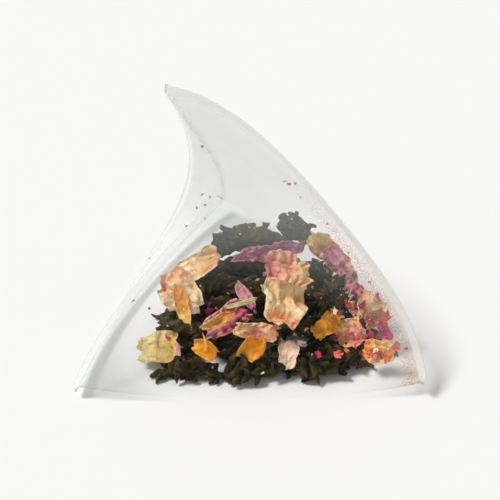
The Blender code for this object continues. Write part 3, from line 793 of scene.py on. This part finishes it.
def film_fields(grid):
    """Where the film is creased, welded, clouded and dusty, each from 0 to 1.

    It is clouded outside a ball pressed flat round the heap. Over the heap the veil is drawn faint,
    painted shade from the dark tea behind the threads. Dust lies along the front of the upper seal,
    below its bend.
    """
    count, columns = grid.shape[:2]
    rank = np.arange(count)[:, None]
    row = np.clip(rank - FIN_ROWS, 0, ROWS)
    column = np.arange(columns)[None, :]
    to_left_fold = np.minimum(column, columns - column) * CELL_MM
    to_back_fold = (column - ROWS - row) * CELL_MM
    line = np.exp(-((to_left_fold / LEFT_CREASE_MM) ** 2))
    line = line + BACK_CREASE * np.exp(-((to_back_fold / BACK_CREASE_MM) ** 2))
    fins = np.minimum(rank, count - 1 - rank) <= FIN_ROWS
    place = grid / MM
    heading = radians(LAP_HEADING)
    along = (place[..., :2] - LAP_MIDDLE_MM) @ (np.cos(heading), np.sin(heading))
    across = (place[..., :2] - LAP_MIDDLE_MM) @ (-np.sin(heading), np.cos(heading))
    lap = (np.abs(along) < LAP_LENGTH_MM / 2) & (np.abs(across) < LAP_WIDTH_MM / 2)
    weld = np.maximum(fins, LAP_WELD * lap * (place[..., 2] < LAP_BELOW_MM))
    away = np.linalg.norm((place - HEAP_MIDDLE_MM) / HEAP_REACH_MM, axis=-1)
    from_seal = (ROWS - row) * CELL_MM - DUST_FROM_SEAL_MM
    dust = np.exp(-((from_seal / DUST_SPREAD_MM) ** 2)) * (column <= row)
    dust = dust * (1 - smooth(place[..., 2], *DUST_FADES_MM))
    return grid_fields(grid, crease=line, weld=weld, slack=smooth(away, *CLOUDED_SHARES), dust=dust)


def lay_threads(mesh, count, columns):
    """The film's flat coordinates in metres as a UV map, so that its threads run along its tube."""
    i, j = np.meshgrid(np.arange(count - 1), np.arange(columns), indexing="ij")
    corners = [(i, j), (i, j + 1), (i + 1, j + 1), (i, j), (i + 1, j + 1), (i + 1, j)]
    cell = FILM_WIDTH / columns
    rise = TUBE_LENGTH / (count - 1)
    flat = [np.stack([(b - a / 2) * cell, a * rise], -1) for a, b in corners]
    layer = mesh.uv_layers.new(name="threads")
    layer.data.foreach_set("uv", np.stack(flat, 2).astype(np.float32).ravel())


def leaf_shape(seed, turns, rows=52, columns=64):
    """A sheet rolled to a spiral about its length, wrung along it and bent like a hook.

    Points are (u, radius cos angle, radius sin angle). The angle runs through the turns and is
    wrung from end to end, the radius shrinks with each turn, and pleats and noise dent it.
    """
    random = np.random.default_rng(seed)
    u, v = grid_uv(rows, columns)
    ends = np.sign(u - 0.5)
    spread = np.sin(pi * np.clip(u * random.uniform(0.85, 1.1), 0.02, 0.98)) ** 0.7
    spread = (0.46 + 0.54 * spread) * (1 + 0.30 * flat_noise(u * 4, 0 * v, seed))
    wring = random.choice([-1, 1]) * random.uniform(1.5, 3.4)
    angle = 2 * pi * turns * (v - 0.5) + 2.4 * seed + wring * u
    dents = 0.30 * flat_noise(u * 3.4, v * 4 * turns, seed + 1)
    dents = dents + 0.13 * flat_noise(u * 9, v * 12, seed + 2)
    pleats = 0.11 * crease(v * 4 * turns + u * 1.5 + 0.8 * flat_noise(u * 3, v * 3, seed + 3))
    relief = dents + pleats + 0.06 * crease(u * 5 + v * 4 + flat_noise(u * 4, v * 4, seed + 4))
    radius = spread * (1 - 0.50 * v) * (1 + relief)
    torn = 0.08 * flat_noise(ends, v * 9, seed + 5) + 0.04 * flat_noise(ends, v * 27, seed + 6)
    x = (2 * u - 1) * (1 + torn) + 0.05 * np.cos(angle)
    bend = random.uniform(-0.6, 0.6) * (2 * u - 1) ** 2 + 0.4 * flat_noise(u * 2.5, 0 * v, seed + 7)
    rise = random.uniform(-0.5, 0.5) * (2 * u - 1) ** 2
    shape = np.stack([x, radius * np.cos(angle) + bend, radius * np.sin(angle) + rise], -1)
    return shape, grid_fields(shape, relief=0.5 + 0.9 * relief, along=u, around=v)


def petal_folds(x, y, seed, random):
    """The folds of a crumpled petal, over places in millimetres.

    They are the straight ones, in chance directions, plus the wandering ones: sharp ridges on the
    lines where noise is 0.
    """
    folds = 0
    for length, depth in FOLDS_MM:
        turn = random.uniform(0, pi)
        warp = 0.45 * flat_noise(x / length, y / length, seed + int(10 * length))
        phase = (x * np.cos(turn) + y * np.sin(turn)) / length + warp + random.uniform()
        patch = flat_noise(x / length / 1.7 + 9, y / length / 1.7, seed + int(30 * length))
        folds = folds + depth * (0.65 + 0.5 * patch) * crease(phase)
    for length, depth in WRINKLES_MM:
        sway = 0.4 * np.sin(y / length * 1.3)
        ridges = np.abs(flat_noise(x / length + sway, y / length, seed + int(70 * length)))
        folds = folds + depth * (1 - 3.2 * ridges)
    return folds


def petal_shape(seed, style, size, rows=64, columns=52):
    """A petal outline, creased, cupped and frilled, with its rim curled over in places.

    Across the petal y is the outline's half width times v. Height is the sum of the cup, straight
    folds in chance directions, folds along its veins, a frill and a curl that grow to the rim.
    """
    across, along, frill, cup, ragged, square, slim = CREASES[style]
    random = np.random.default_rng(seed)
    u, v = grid_uv(rows, columns, -1)
    ends, sides = 2 * np.sign(u - 0.5), 3 * np.sign(v)
    outline = 0.26 + 0.74 * np.sin(pi * (0.08 + 0.78 * u)) ** (1.0 - 0.75 * square)
    edge = flat_noise(u * 3, sides, seed) + 0.35 * flat_noise(u * 8, sides, seed + 1)
    outline = outline * (1 + ragged * edge)
    end = flat_noise(ends, v * 2, seed + 2) + 0.3 * flat_noise(ends, v * 6, seed + 3)
    x = (2 * u - 1) * (1 + ragged * end) - 0.30 * (1 - square) * v**2 * (2 * u - 1)
    half_long, half_wide = size[0] / MM, size[1] / MM * slim
    x_mm, y_mm = x * half_long, outline * v * half_wide
    folds = petal_folds(x_mm, y_mm, seed, random)
    coarse, fine = (half_wide * v / spacing for spacing in PLEATS_MM)
    coarse = coarse + 0.5 * flat_noise(u * 2.5, v * 1.5, seed + 4) + random.uniform()
    pleats = crease(coarse) + 0.35 * crease(fine + 0.6 * flat_noise(u * 3, v * 2, seed + 5))
    ruffle = crease(u * half_long / FRILL_MM + 0.7 * flat_noise(u * 5, v * 2, seed + 6)) * np.abs(v)
    rim = np.maximum(np.abs(v), np.abs(2 * u - 1))
    curl = smooth(rim, 0.5, 1.05) * flat_noise(u * 2 + 3, v * 1.5, seed + 7)
    bowl = 0.30 * half_wide * v**2 + 0.16 * half_long * (2 * u - 1) ** 2
    relief = across * folds + 0.42 * along * pleats + 0.60 * frill * ruffle
    z = relief + cup * bowl + 0.8 * curl
    push_y = 0.30 * across * flat_noise(x_mm / PUSH_MM, y_mm / PUSH_MM, seed + 8)
    push_x = 0.30 * across * flat_noise(x_mm / PUSH_MM + 5, y_mm / PUSH_MM, seed + 9)
    tuck = 1 - 0.22 * smooth(rim, 0.6, 1.1) * np.abs(curl)
    x_mm = x_mm * tuck + push_x + 0.10 * frill * ruffle
    y_mm = y_mm * (1 - 0.15 * cup * v**2) * tuck + push_y
    shape = np.stack([x_mm, y_mm, z], -1)
    relief = 0.5 + 0.30 * relief
    return shape, grid_fields(shape, relief=relief, along=u, across=np.abs(v), side=0.5 + 0.5 * v)


def make_sheet_piece(name, node, shape, fields, material, thickness, slim=1.0):
    """A leaf or petal filling its node's space: the shape stretched to it and turned as it lies."""
    middle, axes, half = lie_of(node)
    points = fill(shape, (half - thickness / 2) * (1, slim, 1)) @ axes + middle
    points[..., 2] = np.maximum(points[..., 2], LOWEST)
    thing = make_mesh(name, points, grid_faces(*shape.shape[:2]), fields, material)
    thicken(thing, thickness)
    return join_object(thing, SLOT_OF[node], node)


def tree_of(things):
    """A search tree over the faces of several meshes, all of quads or all of triangles."""
    points, faces = [], []
    for thing in things:
        mesh = thing.data
        co = np.empty(len(mesh.vertices) * 3, np.float32)
        mesh.vertices.foreach_get("co", co)
        corners = np.empty(len(mesh.loops), np.int32)
        mesh.loops.foreach_get("vertex_index", corners)
        faces.append(corners.reshape(len(mesh.polygons), -1) + sum(len(p) for p in points))
        points.append(co.reshape(-1, 3))
    return BVHTree.FromPolygons(np.concatenate(points).tolist(), np.concatenate(faces).tolist())


def turn_to(normal, spin):
    """The turning matrix that takes +Z to the normal after a spin about it."""
    side = unit(np.cross(normal, ASIDE))
    other = np.cross(normal, side)
    c, s = np.cos(spin), np.sin(spin)
    return np.array([c * side + s * other, c * other - s * side, normal])


def inside(film, point, clear):
    """Whether a point is within the film and at least clear from it."""
    near, normal, _, distance = film.find_nearest(point)
    return distance > clear and (point - near).dot(normal) < 0


def touch(ground, start, way, floor=True):
    """Where a ray from start meets the ground, and the normal there on the ray's own side.

    A ray that passes the ground meets the film's base, or nothing with floor unset.
    """
    hit, normal, _, _ = ground.ray_cast(start, way)
    if hit is None and not floor:
        return None, None
    if hit is None:
        hit = start + way * ((LOWEST - start.z) / way.z)
        normal = Vector((0, 0, 1))
    return hit, -normal if normal.dot(way) > 0 else normal


def aimed_spots(ground, film, rows, past):
    """Where lines from the eye through places in the view meet the ground.

    Each row gives its place across and up the view, its length, width, heading and colour. With
    past below 0 a bit lies on the ground, and above 0 it hangs behind it. The result is middles,
    turning matrices, half sizes and colours, without the bits that don't clear the film.
    """
    eye, middle, across, up = (Vector(values) for values in (EYE, VIEW_MIDDLE, VIEW_ACROSS, VIEW_UP))
    landed = []
    for x, y, length, width, heading, colour in rows:
        way = (middle + across * x * MM + up * y * MM - eye).normalized()
        hit, normal = touch(ground, eye, way)
        out = (normal * 0.5 - way).normalized()
        ahead = across * np.cos(radians(heading)) + up * np.sin(radians(heading))
        ahead = (ahead - out * ahead.dot(out)).normalized()
        spot = hit + way * past
        if inside(film, spot, CHIP_CLEAR):
            half = length / 2 * MM, width / 2 * MM, width / 5 * MM
            landed.append((spot, (ahead, out.cross(ahead), out), half, linear(colour)))
    return [np.array(values) for values in zip(*landed)]


def landing_spots(ground, film, random, area, lean, sizes, clear, floor=True):
    """Chance spots and turns at which bits of the given half sizes lie on the heap.

    Rays come in along lean and stop on the ground, or on the film's base. A spot counts if the
    bit's middle and both its ends clear the film. The result is middles, turning matrices and half
    sizes.
    """
    low, high = np.array(area) * MM
    way = Vector(lean).normalized()
    landed = []
    for size in sizes:
        for _ in range(TRIES):
            start = Vector(random.uniform(low, high)) - way * AIM_FROM
            hit, normal = touch(ground, start, way, floor)
            if hit is None:
                continue
            up = (normal - way * 0.6).normalized()
            turn = turn_to(np.array(up), random.uniform(0, 2 * pi))
            middle = hit + up * float(size[2])
            reach = Vector(turn[0] * size[0])
            if all(inside(film, middle + reach * share, clear) for share in (-1, 0, 1)):
                landed.append((middle, turn, size))
                break
    return [np.array(values) for values in zip(*landed)]


def scatter(name, shape_of, spots, turns, sizes, material, thickness, colours=None):
    """Many small sheets in one mesh, one on each spot, each turned its own way."""
    samples = np.stack([shape_of(i) for i in range(len(spots))])
    count, rows, columns = samples.shape[:3]
    turned = np.einsum("nijk,nkl->nijl", samples * sizes[:, None, None, :], turns)
    points = turned + spots[:, None, None, :]
    points[..., 2] = np.maximum(points[..., 2], LOWEST)
    faces = grid_faces(rows, columns) + (np.arange(count) * rows * columns)[:, None, None]
    each = np.repeat(np.arange(count), rows * columns)
    one = np.broadcast_arrays(*grid_uv(rows, columns))
    u, v = (np.tile(values.ravel(), count) for values in one)
    fields = {"along": u, "around": v, "relief": 0.5 + 0.4 * np.sin(9 * v + 5 * u + each)}
    if colours is not None:
        fields["tint"] = colours[each]
    thing = make_mesh(name, points, faces.reshape(-1, 4), fields, material)
    thicken(thing, thickness)
    return thing


def shred_shape(seed):
    """A shred of leaf: a narrow sheet wrung into a loose roll, bent and dented."""
    random = np.random.default_rng(seed)
    u, v = grid_uv(9, 7)
    radius = (0.45 + 0.55 * np.sin(pi * (0.06 + 0.86 * u))) * (1 - 0.45 * v)
    radius = radius * (1 + 0.45 * flat_noise(u * 4, v * 4, seed))
    angle = 2 * pi * 1.2 * v + seed + random.uniform(-2.5, 2.5) * u
    x = (2 * u - 1) * (1 + 0.15 * flat_noise(np.sign(u - 0.5), v * 5, seed + 1))
    bend = random.uniform(-1.6, 1.6) * (2 * u - 1) ** 2 + 0.6 * flat_noise(u * 2.5, 0 * v, seed + 2)
    return np.stack([x, radius * np.cos(angle) + bend, radius * np.sin(angle)], -1)


def flake_shape(seed):
    """A flake of petal: a scrap with four chance corners, ragged sides, one fold and a curl."""
    random = np.random.default_rng(seed)
    u, v = (values[..., None] for values in grid_uv(7, 7))
    turn = (np.arange(4) + 0.5 + random.uniform(-0.3, 0.3, 4)) * pi / 2
    a, b, c, d = np.stack([np.cos(turn), np.sin(turn)], -1) * random.uniform(0.75, 1.5, (4, 1))
    x, y = np.moveaxis((1 - u) * ((1 - v) * a + v * b) + u * ((1 - v) * d + v * c), -1, 0)
    ragged = 0.30 * flat_noise(x * 2.6, y * 2.6, seed), 0.30 * flat_noise(x * 2.6 + 7, y * 2.6, seed)
    x, y = x + ragged[0], y + ragged[1]
    way = random.uniform(0, pi)
    folds = np.abs(x * np.cos(way) + y * np.sin(way)) * random.uniform(0.5, 2.0)
    z = folds + 0.9 * flat_noise(x * 2.5, y * 2.5, seed + 1) + random.uniform(-1.2, 1.2) * x * y
    return np.stack([x, y, z - z.mean()], -1)


class FilmSettings(bpy.types.PropertyGroup):
    """Sizes and colours of the film."""

    thickness: bpy.props.FloatProperty(
        name="Film thickness", description="Thickness of the woven film",
        default=0.00008, unit="LENGTH", precision=5
    )
    thread_spacing: bpy.props.FloatProperty(
        name="Thread spacing", description="Distance from thread to thread as drawn",
        default=0.0003, unit="LENGTH", precision=5
    )
    # Over the tea the haze is drawn low as painted shade: the threads there are lit by the dark tea
    # behind.
    haze_low: bpy.props.FloatProperty(
        name="Haze over the tea", description="How much of the light the stretched film stops",
        default=0.004, subtype="FACTOR"
    )
    haze_high: bpy.props.FloatProperty(
        name="Haze at the tip", description="How much of the light the slack film stops",
        default=0.14, subtype="FACTOR"
    )
    crease_haze: bpy.props.FloatProperty(
        name="Haze of the creases", description="What a crease adds to the haze",
        default=0.22, subtype="FACTOR"
    )
    weld_haze: bpy.props.FloatProperty(
        name="Haze of the welds", description="What a weld adds to the haze",
        default=0.20, subtype="FACTOR"
    )
    film_hex: bpy.props.StringProperty(
        name="Film colour", description="Colour of the threads, sRGB", default="d0d3cc"
    )
    # The crease and weld colours are near white, a painted highlight along the folds and fins.
    crease_highlight_hex: bpy.props.StringProperty(
        name="Crease colour", description="Colour of the creases, sRGB", default="fcfdfa"
    )
    weld_highlight_hex: bpy.props.StringProperty(
        name="Weld colour", description="Colour of the welds, sRGB", default="f8f9f6"
    )
    dust_hex: bpy.props.StringProperty(
        name="Dust colour", description="Colour of the dust on it, sRGB", default="d99c7c"
    )


class TeaSettings(bpy.types.PropertyGroup):
    """Sizes and numbers of the leaves, petals and bits."""

    leaf_thickness: bpy.props.FloatProperty(
        name="Leaf thickness", description="Thickness of a fired leaf",
        default=0.00022, unit="LENGTH", precision=5
    )
    petal_thickness: bpy.props.FloatProperty(
        name="Petal thickness", description="Thickness of a dried petal",
        default=0.00014, unit="LENGTH", precision=5
    )
    shred_thickness: bpy.props.FloatProperty(
        name="Shred thickness", description="Thickness of a shred of leaf",
        default=0.00014, unit="LENGTH", precision=5
    )
    flake_thickness: bpy.props.FloatProperty(
        name="Flake thickness", description="Thickness of a flake of petal",
        default=0.0001, unit="LENGTH", precision=5
    )
    shreds: bpy.props.IntProperty(
        name="Leaf shreds", description="How many shreds lie in the heap", default=340
    )
    flakes: bpy.props.IntProperty(
        name="Petal flakes", description="How many petal flakes lie at the right end", default=52
    )
    scraps: bpy.props.IntProperty(
        name="Petal scraps", description="How many small scraps lie on the leaves", default=26
    )
    crumbs: bpy.props.IntProperty(
        name="Pale crumbs", description="How many pale crumbs lie on the leaves", default=45
    )
    seed: bpy.props.IntProperty(
        name="Seed", description="Another number gives another scatter", default=7
    )


class StageSettings(bpy.types.PropertyGroup):
    """Lights and camera."""

    sky_strength: bpy.props.FloatProperty(
        name="Sky", description="Strength of the light from all round", default=0.42
    )
    sun_strength: bpy.props.FloatProperty(
        name="Sun", description="Strength of the soft key light", default=2.4
    )
    sun_angle: bpy.props.FloatProperty(
        name="Sun softness", description="Width of the key light", default=radians(16), subtype="ANGLE"
    )
    sun_turn: bpy.props.FloatVectorProperty(
        name="Sun direction", description="Turn of the key light from straight down",
        default=(radians(3), radians(-33), 0), subtype="EULER"
    )
    camera_place: bpy.props.FloatVectorProperty(
        name="Camera place", description="Where the camera stands",
        default=(0.00018, -0.16986, 0.1426), subtype="TRANSLATION", precision=5
    )
    camera_pitch: bpy.props.FloatProperty(
        name="Camera pitch", description="Turn of the camera up from straight down",
        default=radians(52.5), subtype="ANGLE"
    )
    lens: bpy.props.FloatProperty(
        name="Lens", description="Focal length on a 36 mm sensor, in mm", default=78.26
    )


class TEABAG_OT_film(bpy.types.Operator):
    """Makes the folded film with its two welded fins."""

    bl_idname = "teabag.film"
    bl_label = "Film"

    def execute(self, context):
        settings = context.scene.teabag_film
        grid = film_grid(settings.thickness)
        count, columns = grid.shape[:2]
        faces = grid_faces(count, columns, True)[:, [0, 1, 2, 0, 2, 3]].reshape(-1, 3)
        film = make_mesh("film", grid, faces, film_fields(grid), mesh_film_material(settings))
        lay_threads(film.data, count, columns)
        thicken(film, settings.thickness, 1.0)
        join_object(film, "mesh_film", "mesh_bag")
        return {"FINISHED"}


class TEABAG_OT_leaves(bpy.types.Operator):
    """Makes each rolled leaf in the place of its node."""

    bl_idname = "teabag.leaves"
    bl_label = "Rolled leaves"

    def execute(self, context):
        thickness = context.scene.teabag_tea.leaf_thickness
        looks = {look: leaf_material(look, colours) for look, colours in LEAF_COLOURS.items()}
        for node, look, seed, turns in LEAVES:
            shape, fields = leaf_shape(seed * 10, turns)
            name = node.replace("leaf", "rolled")
            make_sheet_piece(name, node, shape, fields, looks[look], thickness)
        return {"FINISHED"}


class TEABAG_OT_petals(bpy.types.Operator):
    """Makes each dried petal, and the stem, in the place of its node."""

    bl_idname = "teabag.petals"
    bl_label = "Dried petals"

    def execute(self, context):
        thickness = context.scene.teabag_tea.petal_thickness
        looks = {look: petal_material(look, colours) for look, colours in PETAL_COLOURS.items()}
        for node, look, style, seed, claw in PETALS:
            shape, fields = petal_shape(seed, style, lie_of(node)[2])
            if claw < 0:
                fields["along"] = 1 - fields["along"]
            name = node.replace("petal", "dried").replace("stem", "dried_stem")
            slim = CREASES[style][-1]
            make_sheet_piece(name, node, shape, fields, looks[look], thickness, slim)
        return {"FINISHED"}


class TEABAG_OT_bits(bpy.types.Operator):
    """Lays leaf shreds, petal flakes, crumbs, chips and specks on the heap and the film."""

    bl_idname = "teabag.bits"
    bl_label = "Shreds, flakes and crumbs"

    def execute(self, context):
        settings = context.scene.teabag_tea
        random = np.random.default_rng(settings.seed)
        film = tree_of([bpy.data.objects["film"]])
        leaves = [thing for thing in bpy.data.objects if thing.name.startswith("rolled")]
        petals = [thing for thing in bpy.data.objects if thing.name.startswith("dried")]
        half = random.uniform(*SHRED_HALVES, (settings.shreds, 3)) * MM
        for number, (name, look, way, area, share) in enumerate(SHRED_ROUNDS):
            part = half[number :: len(SHRED_ROUNDS)] * share
            landed = landing_spots(tree_of(leaves), film, random, area, way, part, SHRED_CLEAR)
            shade = bpy.data.materials["fired_tea_leaf_" + look]
            thing = scatter(name, shred_shape, *landed, shade, settings.shred_thickness)
            leaves.append(join_object(thing, "leaf_dark"))
        heap, bare = tree_of(leaves + petals), tree_of(leaves)
        shade, thickness = bit_material(), settings.flake_thickness
        for name, counter, area, reach, form, hues, slot in BIT_KINDS:
            sizes = random.uniform(*reach, (getattr(settings, counter), 1)) * np.array([form]) * MM
            ground = heap if area is RIGHT_AREA else bare
            landed = landing_spots(ground, film, random, area, SLOPE, sizes, FLAKE_CLEAR, False)
            picks = random.integers(0, len(hues), len(landed[0]))
            colours = np.array([linear(text) for text in hues])[picks]
            thing = scatter(name, flake_shape, *landed, shade, thickness, colours)
            join_object(thing, slot)
        aimed = (("petal_chips", CHIPS, heap, CHIP_PAST), ("film_specks", SPECKS, film, SPECK_PAST))
        for name, rows, ground, past in aimed:
            *landed, colours = aimed_spots(ground, film, rows, past)
            thing = scatter(name, flake_shape, *landed, shade, thickness, colours)
            join_object(thing, "petal_pink")
        return {"FINISHED"}


class TEABAG_OT_stage(bpy.types.Operator):
    """Sets out the floor, the lights and the camera."""

    bl_idname = "teabag.stage"
    bl_label = "Stage"

    def execute(self, context):
        scene = context.scene
        settings = scene.teabag_stage
        material, tree, shader = new_material("pale_floor")
        finish = {"Base Color": linear(FLOOR_HEX), "Roughness": 0.9, "Specular IOR Level": 0.1}
        feed(tree, shader, finish)
        corners = np.array([(-1, -1, 0), (1, -1, 0), (1, 1, 0), (-1, 1, 0)]) * FLOOR_REACH
        make_mesh("floor", corners, np.array([[0, 1, 2, 3]]), {}, material)
        world = bpy.data.worlds.new("pale_sky")
        world.use_nodes = True
        tree = world.node_tree
        tree.nodes.clear()
        path = add(tree, "ShaderNodeLightPath").outputs
        seen = maths(tree, "MAXIMUM", path["Is Camera Ray"], path["Is Glossy Ray"])
        seen = maths(tree, "MAXIMUM", seen, path["Is Transmission Ray"])
        skies = [
            add(tree, "ShaderNodeBackground", {"Color": WHITE, "Strength": strength}).outputs[0]
            for strength in (settings.sky_strength, SKY_SEEN)
        ]
        both = add(tree, "ShaderNodeMixShader", {0: seen, 1: skies[0], 2: skies[1]})
        add(tree, "ShaderNodeOutputWorld", {"Surface": both.outputs[0]})
        scene.world = world
        sun = bpy.data.objects.new("key_light", bpy.data.lights.new("key_light", "SUN"))
        sun.data.energy = settings.sun_strength
        sun.data.angle = settings.sun_angle
        sun.rotation_euler = settings.sun_turn
        scene.collection.objects.link(sun)
        camera = bpy.data.objects.new("camera", bpy.data.cameras.new("camera"))
        camera.data.lens = settings.lens
        camera.data.sensor_width = 36.0
        camera.data.clip_start = 0.005
        camera.location = settings.camera_place
        camera.rotation_euler = (settings.camera_pitch, 0, 0)
        scene.collection.objects.link(camera)
        scene.camera = camera
        scene.view_settings.view_transform = "Standard"
        scene.cycles.transparent_max_bounces = 32
        return {"FINISHED"}


class TEABAG_PT_panel(bpy.types.Panel):
    """Lists the pieces of the tea bag and their sizes."""

    bl_label = "Tea Bag"
    bl_idname = "TEABAG_PT_panel"
    bl_space_type = "VIEW_3D"
    bl_region_type = "UI"
    bl_category = "Tea Bag"

    def draw(self, context):
        for kind in OPERATORS:
            self.layout.operator(kind.bl_idname)
        for group in SETTINGS:
            box = self.layout.box()
            for name in SETTINGS[group].__annotations__:
                box.prop(getattr(context.scene, group), name)


OPERATORS = (TEABAG_OT_film, TEABAG_OT_leaves, TEABAG_OT_petals, TEABAG_OT_bits, TEABAG_OT_stage)
SETTINGS = {"teabag_film": FilmSettings, "teabag_tea": TeaSettings, "teabag_stage": StageSettings}


def register():
    for kind in (*SETTINGS.values(), *OPERATORS, TEABAG_PT_panel):
        bpy.utils.register_class(kind)
    for name, kind in SETTINGS.items():
        setattr(bpy.types.Scene, name, bpy.props.PointerProperty(type=kind))


def unregister():
    for name in SETTINGS:
        delattr(bpy.types.Scene, name)
    for kind in (TEABAG_PT_panel, *reversed(OPERATORS), *SETTINGS.values()):
        bpy.utils.unregister_class(kind)


def main():
    register()
    bpy.ops.teabag.film()
    bpy.ops.teabag.leaves()
    bpy.ops.teabag.petals()
    bpy.ops.teabag.bits()
    bpy.ops.teabag.stage()


if __name__ == "__main__":
    main()
